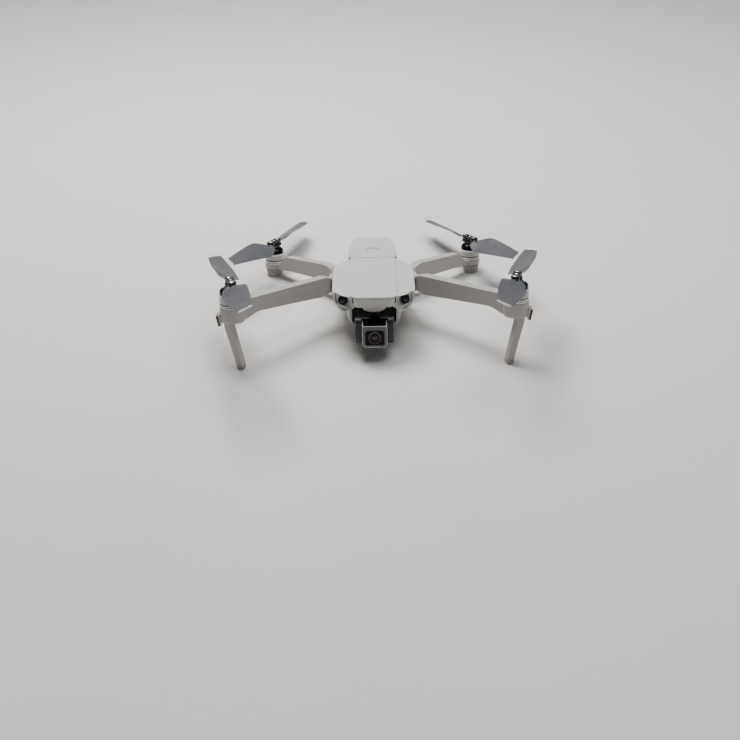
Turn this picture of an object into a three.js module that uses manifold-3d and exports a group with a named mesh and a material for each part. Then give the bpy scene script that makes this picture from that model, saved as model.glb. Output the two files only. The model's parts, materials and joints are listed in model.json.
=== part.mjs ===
// A folding quadcopter camera drone, standing nose-up on two long front legs and two short rear feet.
// Millimetres. In the aircraft frame +X is to the right of a viewer who faces the nose, +Y runs from the nose
// to the tail, +Z is up, and the four rotors are level. z = 0 is the underside of the front legs.
import * as THREE from "three";
import { mergeVertices } from "three/addons/utils/BufferGeometryUtils.js";
import Module from "manifold-3d";

const wasm = await Module();
wasm.setup();

// ---- Driving dimensions ----
const GAP = 0.3; // running gap between neighbouring pieces
const WALL = 1.8; // moulded shell thickness
const FRONT_MOTOR = { x: 126.5, y: -92, baseTop: 57, radius: 11.2, bellHeight: 9.7 };
const REAR_MOTOR = { x: 101.3, y: 91.4, baseTop: 46.5, radius: 9.8, bellHeight: 8.4 };
const FRONT_PIN = { x: 36, y: 3 }; // upright hinge pin of a front arm
const REAR_PIN = { x: 36, y: 33, z: 36 }; // slanting hinge pin of a rear arm
const PIN_RADIUS = 2; // of all four hinge pins
const ROTOR_RADIUS = 90.5; // to the middle of a propeller tip
const FOOT_Z = 34; // underside of the rear feet, in the aircraft frame
const FOOT_Y = 88;
const STANCE = Math.atan(FOOT_Z / (FOOT_Y - FRONT_MOTOR.y)); // nose-up angle on the ground
// A blade pair's directions seen from above, in degrees from +X: one to the tail and one to the nose.
const BLADE_HEADINGS = {
  front_left: [106.5, 284],
  front_right: [73.5, 256],
  rear_left: [71, 244],
  rear_right: [118, 297],
};

const HEAD = { seamY: 35, halfWidth: 38.5, creaseX: 21, roofZ: 63.2, roofSlope: 0.052, wingDrop: 3 };
const HEAD_FLOOR_Z = 45; // top of the ledge that carries the top shell
const LEDGE = 2.2; // thickness of that ledge
const NOSE_Y = -80;
const BATTERY = {
  frontY: HEAD.seamY + 0.4,
  rearY: 108,
  topZ: 65.2,
  bottomZ: HEAD_FLOOR_Z + GAP,
  halfWidth: 24.6,
};
const GIMBAL = { yawY: -66, rollZ: 27, pitchY: -79.5, pitchZ: 25.5 };
const CAMERA = {
  halfWidth: 11.3,
  frontY: -92,
  rearY: -67.5,
  bottomZ: 15.5,
  topZ: 35.5,
  lowerCut: 2.6,
  upperCut: 1.5,
};
const MOTOR = { flange: 1, domeHeight: 6, shaftRadius: 1.5, coilRadius: 7 };
// A propeller hub, with its heights above the dome it is screwed to.
const HUB = {
  pinRadius: 1.5,
  pinOffset: 7.5,
  plateRadius: 4.4,
  lowerPlate: [1, 2.7],
  bladeEye: [3, 5.8],
  upperPlate: [6.2, 7.4],
};

const COLOURS = {
  shell: [0xc2c1be, 0.55, 0],
  arm: [0xa9a5a1, 0.55, 0],
  dark: [0x1b1b1d, 0.5, 0],
  blade: [0x87888b, 0.45, 0],
  metal: [0xb9bbbf, 0.3, 0.9],
  glass: [0x0b0c10, 0.08, 0],
  board: [0x1f5a3a, 0.6, 0],
  rubber: [0x2b2a2a, 0.85, 0],
  cells: [0x4a6f95, 0.5, 0],
  light: [0x3a1512, 0.2, 0],
};

// ---- Solids ----
// A closed three.js geometry as a solid with its faces turned outwards.
function solid(geometry) {
  const bare = geometry.index ? geometry.toNonIndexed() : geometry.clone();
  bare.deleteAttribute("normal");
  bare.deleteAttribute("uv");
  const merged = mergeVertices(bare, 1e-4);
  const build = (triVerts) =>
    new wasm.Manifold(
      new wasm.Mesh({ numProp: 3, vertProperties: merged.attributes.position.array, triVerts }),
    );
  const triangles = new Uint32Array(merged.index.array);
  const made = build(triangles);
  if (made.volume() >= 0) return made;
  for (let i = 0; i < triangles.length; i += 3) {
    [triangles[i + 1], triangles[i + 2]] = [triangles[i + 2], triangles[i + 1]];
  }
  return build(triangles);
}

function geometryOf(manifold) {
  const mesh = manifold.getMesh();
  const position = new Float32Array(mesh.numVert * 3);
  for (let i = 0; i < mesh.numVert; i++) {
    position.set(mesh.vertProperties.subarray(i * mesh.numProp, i * mesh.numProp + 3), i * 3);
  }
  const geometry = new THREE.BufferGeometry();
  geometry.setAttribute("position", new THREE.BufferAttribute(position, 3));
  geometry.setIndex(new THREE.BufferAttribute(mesh.triVerts, 1));
  return geometry;
}

// The same solid under a matrix, which may mirror it.
function moved(manifold, matrix) {
  return solid(geometryOf(manifold).applyMatrix4(matrix));
}

const mirrored = (manifold) => moved(manifold, new THREE.Matrix4().makeScale(-1, 1, 1));
const joined = (...parts) => parts.reduce((a, b) => a.add(b));
const mirrorPair = (manifold) => manifold.add(mirrored(manifold));

function shapeOf(points) {
  return new THREE.Shape(points.map(([a, b]) => new THREE.Vector2(a, b)));
}

// An outline in X and Y, standing between two heights.
function prismZ(points, z0, z1) {
  const geometry = new THREE.ExtrudeGeometry(shapeOf(points), { depth: z1 - z0, bevelEnabled: false });
  return solid(geometry.translate(0, 0, z0));
}

// An outline in Y and Z, running along X.
function prismX(points, x0, x1) {
  const geometry = new THREE.ExtrudeGeometry(shapeOf(points), { depth: x1 - x0, bevelEnabled: false });
  const turn = new THREE.Matrix4().makeBasis(
    new THREE.Vector3(0, 1, 0),
    new THREE.Vector3(0, 0, 1),
    new THREE.Vector3(1, 0, 0),
  );
  return solid(geometry.applyMatrix4(turn).translate(x0, 0, 0));
}

// An outline in X and Z, running along Y.
function prismY(points, y0, y1) {
  const geometry = new THREE.ExtrudeGeometry(shapeOf(points), { depth: y1 - y0, bevelEnabled: false });
  const turn = new THREE.Matrix4().makeBasis(
    new THREE.Vector3(1, 0, 0),
    new THREE.Vector3(0, 0, 1),
    new THREE.Vector3(0, -1, 0),
  );
  return solid(geometry.applyMatrix4(turn).translate(0, y1, 0));
}

function box(x0, x1, y0, y1, z0, z1) {
  const geometry = new THREE.BoxGeometry(x1 - x0, y1 - y0, z1 - z0);
  return solid(geometry.translate((x0 + x1) / 2, (y0 + y1) / 2, (z0 + z1) / 2));
}

// A round bar between two points, its end radii r0 and r1.
function bar(from, to, r0, r1 = r0, sides = 18) {
  const a = new THREE.Vector3(...from);
  const b = new THREE.Vector3(...to);
  const geometry = new THREE.CylinderGeometry(r1, r0, a.distanceTo(b), sides);
  const turn = new THREE.Quaternion().setFromUnitVectors(
    new THREE.Vector3(0, 1, 0),
    b.clone().sub(a).normalize(),
  );
  const middle = a.add(b).multiplyScalar(0.5);
  return solid(geometry.applyQuaternion(turn).translate(middle.x, middle.y, middle.z));
}

// A solid of revolution about Z from [radius, z] pairs.
function turned(profile, sides = 24) {
  const geometry = new THREE.LatheGeometry(shapeOf(profile).getPoints(), sides);
  return solid(geometry.rotateX(Math.PI / 2));
}

// The closed skin over a row of rings with equal point counts, capped at both ends.
function loft(rings) {
  const count = rings[0].length;
  const position = rings.flat().flatMap((p) => [p.x, p.y, p.z]);
  const index = [];
  for (let r = 0; r + 1 < rings.length; r++) {
    for (let i = 0; i < count; i++) {
      const j = (i + 1) % count;
      const [a, b, c, d] = [r * count + i, r * count + j, (r + 1) * count + j, (r + 1) * count + i];
      index.push(a, b, c, a, c, d);
    }
  }
  const last = (rings.length - 1) * count;
  for (let i = 1; i + 1 < count; i++) {
    index.push(0, i + 1, i);
    index.push(last, last + i, last + i + 1);
  }
  const geometry = new THREE.BufferGeometry();
  geometry.setAttribute("position", new THREE.Float32BufferAttribute(position, 3));
  geometry.setIndex(index);
  return solid(geometry);
}

// ---- The scene graph ----
const aircraft = new THREE.Group();
aircraft.rotation.x = -STANCE;

function addPart(name, manifold, look) {
  const [color, roughness, metalness] = COLOURS[look];
  const material = new THREE.MeshStandardMaterial({ color, roughness, metalness });
  const mesh = new THREE.Mesh(geometryOf(manifold), material);
  mesh.name = name;
  aircraft.add(mesh);
}

// A joint's place, with the marker's own +Z along its axis.
function addJoint(name, position, axis) {
  const marker = new THREE.Object3D();
  marker.name = name;
  marker.position.set(...position);
  marker.quaternion.setFromUnitVectors(
    new THREE.Vector3(0, 0, 1),
    new THREE.Vector3(...axis).normalize(),
  );
  aircraft.add(marker);
}

const SIDES = [
  ["left", -1],
  ["right", 1],
];
const handed = (manifold, side) => (side < 0 ? mirrored(manifold) : manifold);

// ---- Head and lower body ----
// Half of the head's plan outline, from the middle of the nose to the seam with the battery.
function headOutline(inset) {
  const half = [
    [15.8, NOSE_Y],
    [33.5, -63.5],
    [37.3, -57],
    [HEAD.halfWidth, -46],
    [HEAD.halfWidth, 15],
    [33.5, 25],
    [25, 34],
    [22, HEAD.seamY],
  ];
  const right = half.map(([x, y]) => [x - inset, y < 0 ? y + inset * 0.8 : y - inset * 0.6]);
  return [...right, ...right.map(([x, y]) => [-x, y]).reverse()];
}

// The space under the roof: flat between the creases, falling a little over the wings, rising to the tail.
function underRoof(lower) {
  const edge = HEAD.halfWidth + 6;
  const fall = (HEAD.wingDrop * (edge - HEAD.creaseX)) / (HEAD.halfWidth - HEAD.creaseX);
  const top = HEAD.roofZ - lower;
  const section = [
    [-edge, 20],
    [edge, 20],
    [edge, top - fall],
    [HEAD.creaseX, top],
    [-HEAD.creaseX, top],
    [-edge, top - fall],
  ];
  const rise = new THREE.Matrix4().set(1, 0, 0, 0, 0, 1, 0, 0, 0, HEAD.roofSlope, 1, 0, 0, 0, 0, 1);
  return moved(prismY(section, NOSE_Y - 5, HEAD.seamY + 5), rise);
}

function topShell() {
  const bottom = HEAD_FLOOR_Z + GAP;
  const outer = prismZ(headOutline(0), bottom, 80).intersect(underRoof(0));
  const inner = prismZ(headOutline(WALL), bottom - 1, 80).intersect(underRoof(WALL));
  const frontUnderside = box(-50, 50, NOSE_Y - 5, -56, bottom - 1, 57.5);
  const armSlot = box(28.8, 50, -20.5, 22, bottom - 1, 58.4);
  const batteryMouth = box(-20, 20, HEAD.seamY - 6, HEAD.seamY + 5, bottom - 1, 60);
  return outer.subtract(inner).subtract(frontUnderside).subtract(mirrorPair(armSlot)).subtract(batteryMouth);
}

const SENSOR = { x: 28.5, y: -69, z: 52.6, radius: 4.1 };

function frontFascia() {
  const half = [
    [37, 57.2],
    [36.9, 51.5],
    [35, 47.6],
    [29.3, 43],
    [25.4, 43],
    [19.2, 47.6],
    [16.5, 49.8],
  ];
  const face = [...half, ...half.map(([x, z]) => [-x, z]).reverse()];
  const front = prismZ(headOutline(0.8), 40, 57.2).intersect(box(-50, 50, NOSE_Y - 5, -56.3, 40, 60));
  const hollow = box(-22, 22, -74, -50, 51.6, 60);
  const seat = bar([SENSOR.x, SENSOR.y - 12, SENSOR.z], [SENSOR.x, -55, SENSOR.z], SENSOR.radius + GAP);
  return front.intersect(prismY(face, NOSE_Y - 5, -50)).subtract(hollow).subtract(mirrorPair(seat));
}

const TAIL_Y = 106; // rear end of the lower body
const TAIL_SENSOR = { x: 9, z: 42 };

// Half of the lower body's plan outline.
function bellyOutline(inset) {
  const half = [
    [23 - inset, -56],
    [27 - inset, -36],
    [28.5 - inset, 40],
    [25 - inset, 84],
    [20 - inset, 101 - inset * 0.7],
    [14 - inset, TAIL_Y - inset],
  ];
  return [...half, ...half.map(([x, y]) => [-x, y]).reverse()];
}

function bellySpace(inset) {
  const side = [
    [-60, 26 + inset],
    [0, 27 + inset],
    [50, 31.5 + inset],
    [82, 36.6 + inset],
    [TAIL_Y + 2, 42 + inset],
    [TAIL_Y + 2, 60],
    [-60, 60],
  ];
  const section = [
    [-21.5 + inset, 20],
    [21.5 - inset, 20],
    [22 - inset, 28],
    [27.5 - inset, 36],
    [30 - inset, 60],
    [-30 + inset, 60],
    [-27.5 + inset, 36],
    [-22 + inset, 28],
  ];
  return prismZ(bellyOutline(inset), 20, HEAD_FLOOR_Z)
    .intersect(prismX(side, -40, 40))
    .intersect(prismY(section, -60, 115));
}

const SLANT = (() => {
  const out = new THREE.Vector2(REAR_MOTOR.x - REAR_PIN.x, REAR_MOTOR.y - REAR_PIN.y).normalize();
  const folded = new THREE.Vector2(0.05, -1).normalize();
  return out.add(folded).normalize();
})(); // the rear pin lies halfway between the open and the folded arm

function alongRearPin(distance) {
  return [REAR_PIN.x + SLANT.x * distance, REAR_PIN.y + SLANT.y * distance, REAR_PIN.z];
}

function bottomShell() {
  const cavity = bellySpace(WALL).intersect(box(-40, 40, -60, 115, 20, HEAD_FLOOR_Z - 2));
  const ledge = prismZ(headOutline(0), HEAD_FLOOR_Z - LEDGE, HEAD_FLOOR_Z).intersect(
    box(-50, 50, -56, HEAD.seamY - 0.2, 40, 50),
  );
  const well = box(-22, 22, -50, 28, 35, 60);
  const batteryFloor = box(-40, 40, HEAD.seamY, 115, HEAD_FLOOR_Z - 2, HEAD_FLOOR_Z);
  const bayMouth = box(-19, 19, -70, -38, 15, HEAD_FLOOR_Z + 1);
  const bulkhead = box(-20, 20, -38, -36, 27.5, HEAD_FLOOR_Z - 2.5);
  const pinHole = bar(alongRearPin(-20), alongRearPin(0), 2.4);
  const sensorHole = box(-19.3, 19.3, 2.7, 17.3, 20, 32);
  const lampHole = bar([0, 30, 20], [0, 30, 34], 5.3);
  const tailHole = bar([TAIL_SENSOR.x, 90, TAIL_SENSOR.z], [TAIL_SENSOR.x, 115, TAIL_SENSOR.z], 2.6);
  return joined(bellySpace(0), ledge)
    .subtract(cavity)
    .subtract(well)
    .subtract(bayMouth)
    .add(bulkhead)
    .add(bellySpace(0).intersect(batteryFloor))
    .subtract(mirrorPair(pinHole))
    .subtract(sensorHole)
    .subtract(lampHole)
    .subtract(mirrorPair(tailHole));
}

addPart("top_shell", topShell(), "shell");
addPart("bottom_shell", bottomShell(), "shell");
addPart("front_fascia", frontFascia(), "shell");
for (const [name, side] of SIDES) {
  const { x, y, z, radius } = SENSOR;
  const barrel = bar([x, y, z], [x, -62.5, z], radius);
  addPart(`front_sensor_${name}`, handed(barrel, side), "glass");
  const tail = bar(
    [TAIL_SENSOR.x, TAIL_Y - 5, TAIL_SENSOR.z],
    [TAIL_SENSOR.x, TAIL_Y + 0.2, TAIL_SENSOR.z],
    2.3,
  );
  addPart(`rear_sensor_${name}`, handed(tail, side), "glass");
}

// ---- Inside the body ----
const BOARD_TOP = 48.6;
addPart("main_board", box(-20, 20, -46, 26, BOARD_TOP - 1.6, BOARD_TOP), "board");

function heatSink() {
  const fins = [-14, -10, -6, -2, 2, 6, 10, 14].map((x) => box(x - 0.6, x + 0.6, -42, -14, 50.5, 56));
  return joined(box(-16, 16, -42, -14, BOARD_TOP + GAP, 51), ...fins);
}
addPart("heat_sink", heatSink(), "metal");

const FAN = { y: 3, hub: 5, radius: 12, blades: 7 };
function fanRotor() {
  const vane = box(FAN.hub - 1, FAN.radius, -0.6, 0.6, 50, 55);
  const vanes = Array.from({ length: FAN.blades }, (_, i) =>
    moved(vane, new THREE.Matrix4().makeRotationZ((i * 2 * Math.PI) / FAN.blades)),
  );
  const hub = bar([0, 0, 49.6], [0, 0, 56], FAN.hub);
  return moved(joined(hub, ...vanes), new THREE.Matrix4().makeTranslation(0, FAN.y, 0));
}
addPart("fan_rotor", fanRotor(), "dark");
addJoint("fan_spin", [0, FAN.y, 50], [0, 0, 1]);

addPart("downward_sensor", box(-19, 19, 3, 17, 27.4, 31.5), "glass");
addPart("landing_light", bar([0, 30, 28.4], [0, 30, 33], 5), "glass");

// ---- Battery ----
function batteryOutline(inset) {
  const half = [
    [BATTERY.halfWidth - inset, BATTERY.frontY + inset],
    [BATTERY.halfWidth - inset, 42],
    [22.4 - inset, 80],
    [20.4 - inset, 97],
    [15.2 - inset, BATTERY.rearY - inset],
  ];
  return [...half, ...half.map(([x, y]) => [-x, y]).reverse()];
}

function batterySpace(inset) {
  const side = [
    [BATTERY.frontY, BATTERY.bottomZ + inset],
    [BATTERY.rearY, BATTERY.bottomZ + inset],
    [BATTERY.rearY, BATTERY.topZ - 2.5 - inset],
    [BATTERY.rearY - 3, BATTERY.topZ + 1.9 - inset],
    [BATTERY.frontY, BATTERY.topZ - inset],
  ];
  const section = [
    [-30, 40],
    [30, 40],
    [30, 58],
    [BATTERY.halfWidth - 0.4 - inset, 62.4 - inset],
    [HEAD.creaseX + 0.5 - inset, 68 - inset],
    [-HEAD.creaseX - 0.5 + inset, 68 - inset],
    [-BATTERY.halfWidth + 0.4 + inset, 62.4 - inset],
    [-30, 58],
  ];
  return prismZ(batteryOutline(inset), 40, 80)
    .intersect(prismX(side, -40, 40))
    .intersect(prismY(section, 20, 120));
}

const BUTTON = { y: 62, radius: 6.5, height: 2.6, travel: 1 };
const LATCH = { y: 46, z: 54, length: 12, height: 7, depth: 3.4, travel: 1.5 };
const buttonTop = BATTERY.topZ + 0.55;

function batteryCase() {
  const cavity = batterySpace(WALL).intersect(box(-22, 22, 50, 110, 40, 63));
  const plug = box(-14, 14, BATTERY.frontY - 1, 52, 48, 56);
  const wellBottom = buttonTop - BUTTON.height - BUTTON.travel - 0.4;
  const buttonWell = bar([0, BUTTON.y, wellBottom], [0, BUTTON.y, 80], BUTTON.radius + GAP);
  const reach = BATTERY.halfWidth - LATCH.depth - LATCH.travel;
  const latchWell = box(
    reach - GAP, 40,
    LATCH.y - LATCH.length / 2 - GAP, LATCH.y + LATCH.length / 2 + GAP,
    LATCH.z - LATCH.height / 2 - GAP, LATCH.z + LATCH.height / 2 + GAP,
  );
  return batterySpace(0).subtract(cavity).subtract(plug).subtract(buttonWell).subtract(mirrorPair(latchWell));
}
addPart("battery_case", batteryCase(), "shell");
addPart("battery_cells", box(-17, 17, 53, 98, 47.6, 60.6), "cells");
addJoint("battery_slide", [0, BATTERY.frontY, 50], [0, 1, 0]);

const button = bar(
  [0, BUTTON.y, buttonTop - BUTTON.height],
  [0, BUTTON.y, buttonTop],
  BUTTON.radius,
  BUTTON.radius - 0.4,
);
addPart("power_button", button, "shell");
addJoint("power_button_press", [0, BUTTON.y, buttonTop], [0, 0, -1]);

for (const [name, side] of SIDES) {
  const latch = box(
    BATTERY.halfWidth - LATCH.depth, BATTERY.halfWidth + 0.6,
    LATCH.y - LATCH.length / 2, LATCH.y + LATCH.length / 2,
    LATCH.z - LATCH.height / 2, LATCH.z + LATCH.height / 2,
  );
  addPart(`battery_latch_${name}`, handed(latch, side), "dark");
  addJoint(`battery_latch_${name}_press`, [side * BATTERY.halfWidth, LATCH.y, LATCH.z], [-side, 0, 0]);
}

// ---- Arms ----
// The ground under the standing drone, as a height in the aircraft frame, and everything above it.
const groundZ = (y) => (y - FRONT_MOTOR.y) * Math.tan(STANCE);
const aboveGround = prismX(
  [
    [-140, groundZ(-140)],
    [140, groundZ(140)],
    [140, 140],
    [-140, 140],
  ],
  -200,
  200,
);

// Local frame of a front arm: +X from the hinge pin along the beam, +Y to the rear of the beam.
const FRONT_HEADING = -0.7115; // angle of the right front beam in the plan, in radians
const frontArmMatrix = new THREE.Matrix4()
  .makeRotationZ(FRONT_HEADING)
  .setPosition(FRONT_PIN.x, FRONT_PIN.y, 0);
const frontMotorLocal = new THREE.Vector3(FRONT_MOTOR.x, FRONT_MOTOR.y, 0).applyMatrix4(
  frontArmMatrix.clone().invert(),
);

function frontArm() {
  const [mx, my] = [frontMotorLocal.x, frontMotorLocal.y];
  const top = FRONT_MOTOR.baseTop;
  const beam = [
    [8, -4],
    [16, -13.6],
    [mx - 4, my - 3],
    [mx, my + 9],
    [mx - 12, -3.6],
  ];
  const side = [
    [7, 48],
    [14, 48],
    [27, 43.8],
    [60, 45.5],
    [mx - 26, 47.6],
    [mx - 13, 43],
    [mx, 43],
    [mx, top],
    [mx - 12, top],
    [mx - 18, 61.4],
    [22, 62],
    [10, 57.8],
    [7, 57.8],
  ];
  const base = bar([mx, my, 43], [mx, my, top], FRONT_MOTOR.radius - 0.2, FRONT_MOTOR.radius + 0.3);
  const knuckle = bar([0, 0, HEAD_FLOOR_Z + 0.6], [0, 0, 58], 6);
  const link = [
    [0, 5.8],
    [14, -3.8],
    [16.5, -13.4],
    [4, -9],
    [-3, -5],
  ];
  const bore = bar([0, 0, 30], [0, 0, 70], PIN_RADIUS + 0.1);
  const arm = joined(
    prismZ(beam, 30, 80).intersect(prismY(side, -30, 20)),
    base,
    knuckle,
    prismZ(link, HEAD_FLOOR_Z + 0.6, 57.8),
  );
  return moved(arm.subtract(bore), frontArmMatrix);
}

function frontLeg() {
  const { x, y } = FRONT_MOTOR;
  const ring = (cx, z, half, depth) =>
    [
      [-1, 0],
      [-0.45, -1],
      [0.75, -0.7],
      [1, 0.1],
      [0.3, 1],
      [-0.7, 0.7],
    ].map(([across, along]) => new THREE.Vector3(cx + across * half, y - 1 + along * depth, z));
  const leg = loft([
    ring(x - 5.6, -4, 4.2, 5.4),
    ring(x - 4.6, 4, 4.6, 6),
    ring(x + 3, 38, 5.2, 7),
    ring(x + 3.2, 42.7, 5.2, 7),
  ]);
  return leg.intersect(aboveGround);
}

function frontLight() {
  const { x, y } = FRONT_MOTOR;
  const window = [
    [x + 11.9, 49.6],
    [x + 13.8, 50.4],
    [x + 14.8, 49],
    [x + 12.8, 39.6],
    [x + 11.9, 40.4],
  ];
  return prismY(window, y - 4.5, y + 4.5);
}

// Local frame of a rear arm: +X from the hinge pin to the motor.
const rearSpan = Math.hypot(REAR_MOTOR.x - REAR_PIN.x, REAR_MOTOR.y - REAR_PIN.y);
const rearArmMatrix = new THREE.Matrix4()
  .makeRotationZ(Math.atan2(REAR_MOTOR.y - REAR_PIN.y, REAR_MOTOR.x - REAR_PIN.x))
  .setPosition(REAR_PIN.x, REAR_PIN.y, 0);

function rearArm() {
  const top = REAR_MOTOR.baseTop;
  const beam = [
    [0.5, -4.8],
    [rearSpan - 4, -5.2],
    [rearSpan - 4, 5.2],
    [0.5, 4.8],
  ];
  const side = [
    [0.5, 30.2],
    [9, 30.2],
    [22, 42.2],
    [60, 42.8],
    [rearSpan - 12, 42.2],
    [rearSpan, 41],
    [rearSpan, top],
    [rearSpan - 12, top],
    [rearSpan - 20, 56.6],
    [13, 58],
    [5, 56],
    [0.5, 50],
  ];
  const base = bar([rearSpan, 0, 41], [rearSpan, 0, top], REAR_MOTOR.radius, REAR_MOTOR.radius + 0.6);
  const arm = joined(prismZ(beam, 20, 70).intersect(prismY(side, -20, 20)), base);
  const knuckle = bar(alongRearPin(-4), alongRearPin(6), 6);
  const bore = bar(alongRearPin(-20), alongRearPin(4.6), PIN_RADIUS + 0.1);
  return moved(arm, rearArmMatrix).add(knuckle).subtract(bore);
}

function rearFoot() {
  const { x, y } = REAR_MOTOR;
  const foot = bar([x + 0.5, y, 41 - GAP], [x + 2.4, FOOT_Y + 1, 28], 9, 4.6, 20);
  return foot.intersect(aboveGround).intersect(box(0, 200, 0, 200, 20, 41 - GAP));
}

// ---- Motors and propellers ----
// Profiles stand on the arm's motor seat, at z = 0.
const FLANGE_TOP = GAP + MOTOR.flange;
const BELL_BOTTOM = FLANGE_TOP + 0.5;
const bellTop = (motor) => BELL_BOTTOM + motor.bellHeight;
const domeTop = (motor) => bellTop(motor) + MOTOR.domeHeight;

function motorStator(motor) {
  const bore = MOTOR.shaftRadius + 0.4;
  const coilTop = bellTop(motor) - 2.6;
  return turned([
    [bore, GAP],
    [motor.radius + 0.3, GAP],
    [motor.radius + 0.3, FLANGE_TOP],
    [MOTOR.coilRadius, FLANGE_TOP],
    [MOTOR.coilRadius, coilTop],
    [bore, coilTop],
    [bore, GAP],
  ]);
}

function motorBell(motor) {
  const top = bellTop(motor);
  const shaftEnd = GAP * 3;
  return turned([
    [0, shaftEnd],
    [MOTOR.shaftRadius, shaftEnd],
    [MOTOR.shaftRadius, top - 1.8],
    [motor.radius - 1.6, top - 1.8],
    [motor.radius - 1.6, BELL_BOTTOM],
    [motor.radius, BELL_BOTTOM],
    [motor.radius, top - 0.6],
    [motor.radius - 0.6, top + 0.2],
    [motor.radius - 0.6, top + 3],
    [motor.radius - 2.2, top + 5],
    [6.4, domeTop(motor)],
    [0, domeTop(motor)],
    [0, shaftEnd],
  ]);
}

// Two plates on a post, with a pin for each blade. z = 0 is the top of the motor's dome.
function propellerHub() {
  const { pinOffset, pinRadius, plateRadius, lowerPlate, upperPlate } = HUB;
  const ends = [-pinOffset, pinOffset];
  const round = (x, z0, z1, radius) => bar([x, 0, z0], [x, 0, z1], radius, radius, 14);
  const plate = ([z0, z1]) =>
    joined(
      ...ends.map((x) => round(x, z0, z1, plateRadius)),
      box(-pinOffset, pinOffset, -plateRadius, plateRadius, z0, z1),
    );
  const foot = round(0, GAP, lowerPlate[0] + 0.5, 6);
  const post = round(0, GAP, upperPlate[1] - 0.1, 3);
  const pins = ends.map((x) => round(x, lowerPlate[0] + 0.2, upperPlate[1] + 0.6, pinRadius));
  return joined(plate(lowerPlate), plate(upperPlate), foot, post, ...pins);
}

// The blade along its length: [distance from the motor axis, chord, pitch in degrees, rake]. The rake is how
// much further out the trailing edge lies than the leading edge, so the tip is cut off at a slant.
const BLADE_STATIONS = [
  [11.2, 8, 4, 0],
  [13.5, 15, 12, 0],
  [17, 19, 19, 0],
  [24, 23.5, 26, 0],
  [32, 25, 26, 0],
  [48, 23, 21, 0],
  [66, 19, 16.5, 2],
  [80, 15.5, 12, 6],
  [ROTOR_RADIUS, 13, 8.5, 10],
];
const BLADE_CONING = 2.4; // rise of the tip over the root

// A blade along +X from its pin. A sense of +1 lifts the +Y edge, which leads on an anticlockwise rotor.
function propellerBlade(sense) {
  const [eyeBottom, eyeTop] = HUB.bladeEye;
  const middle = (eyeBottom + eyeTop) / 2;
  const rings = BLADE_STATIONS.map(([r, chord, pitch, rake]) => {
    const thick = 1.5 - (0.7 * r) / ROTOR_RADIUS;
    const tilt = THREE.MathUtils.degToRad(pitch) * sense;
    const rise = (BLADE_CONING * r) / ROTOR_RADIUS;
    const section = [
      [-0.56, 0],
      [-0.25, 0.5],
      [0.18, 0.55],
      [0.44, 0],
      [0.18, -0.45],
      [-0.25, -0.5],
    ];
    return section.map(([c, t]) => {
      const across = c * chord * sense;
      const up = t * thick;
      return new THREE.Vector3(
        r - HUB.pinOffset - rake * c,
        across * Math.cos(tilt) - up * Math.sin(tilt),
        middle + rise + across * Math.sin(tilt) + up * Math.cos(tilt),
      );
    });
  });
  const eye = bar([0, 0, eyeBottom], [0, 0, eyeTop], 3.8, 3.8, 14);
  const neck = box(0, 6, -3.3, 3.3, eyeBottom + 0.4, eyeTop - 0.4);
  const boreRadius = HUB.pinRadius + 0.1;
  const bore = bar([0, 0, eyeBottom - 5], [0, 0, eyeTop + 5], boreRadius, boreRadius, 14);
  return joined(loft(rings), eye, neck).subtract(bore);
}

const turnedAt = (x, y, z, turn) => new THREE.Matrix4().makeRotationZ(turn).setPosition(x, y, z);

function addRotor(corner, motor, side, sense) {
  const x = side * motor.x;
  const { y, baseTop } = motor;
  const place = turnedAt(x, y, baseTop, 0);
  addPart(`motor_stator_${corner}`, moved(motorStator(motor), place), "metal");
  addPart(`motor_bell_${corner}`, moved(motorBell(motor), place), "metal");
  addJoint(`motor_${corner}_spin`, [x, y, baseTop + bellTop(motor)], [0, 0, 1]);

  const hubZ = baseTop + domeTop(motor);
  const headings = BLADE_HEADINGS[corner].map(THREE.MathUtils.degToRad);
  const hubTurn = (headings[0] + headings[1] - Math.PI) / 2;
  addPart(`propeller_hub_${corner}`, moved(propellerHub(), turnedAt(x, y, hubZ, hubTurn)), "dark");
  headings.forEach((heading, i) => {
    const pinHeading = hubTurn + i * Math.PI;
    const px = x + HUB.pinOffset * Math.cos(pinHeading);
    const py = y + HUB.pinOffset * Math.sin(pinHeading);
    const label = `${corner}_${i ? "b" : "a"}`;
    addPart(`blade_${label}`, moved(propellerBlade(sense), turnedAt(px, py, hubZ, heading)), "blade");
    // Both blades of a pair swing to the same side of the hub.
    addJoint(`blade_${label}_fold`, [px, py, hubZ + HUB.bladeEye[0]], [0, 0, i ? -1 : 1]);
  });
}

for (const [name, side] of SIDES) {
  addPart(`front_arm_${name}`, handed(frontArm(), side), "arm");
  addPart(`front_leg_${name}`, handed(frontLeg(), side), "arm");
  addPart(`front_light_${name}`, handed(frontLight(), side), "light");
  const upright = bar(
    [FRONT_PIN.x, FRONT_PIN.y, HEAD_FLOOR_Z + GAP],
    [FRONT_PIN.x, FRONT_PIN.y, 58.1],
    PIN_RADIUS,
  );
  addPart(`front_hinge_pin_${name}`, handed(upright, side), "metal");
  addJoint(`front_arm_${name}_fold`, [side * FRONT_PIN.x, FRONT_PIN.y, 50], [0, 0, side]);

  addPart(`rear_arm_${name}`, handed(rearArm(), side), "arm");
  addPart(`rear_foot_${name}`, handed(rearFoot(), side), "rubber");
  const slanting = bar(alongRearPin(-14), alongRearPin(4.2), PIN_RADIUS);
  addPart(`rear_hinge_pin_${name}`, handed(slanting, side), "metal");
  addJoint(
    `rear_arm_${name}_fold`,
    [side * REAR_PIN.x, REAR_PIN.y, REAR_PIN.z],
    [-SLANT.x, -side * SLANT.y, 0],
  );
}
addRotor("front_left", FRONT_MOTOR, -1, 1);
addRotor("front_right", FRONT_MOTOR, 1, -1);
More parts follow.
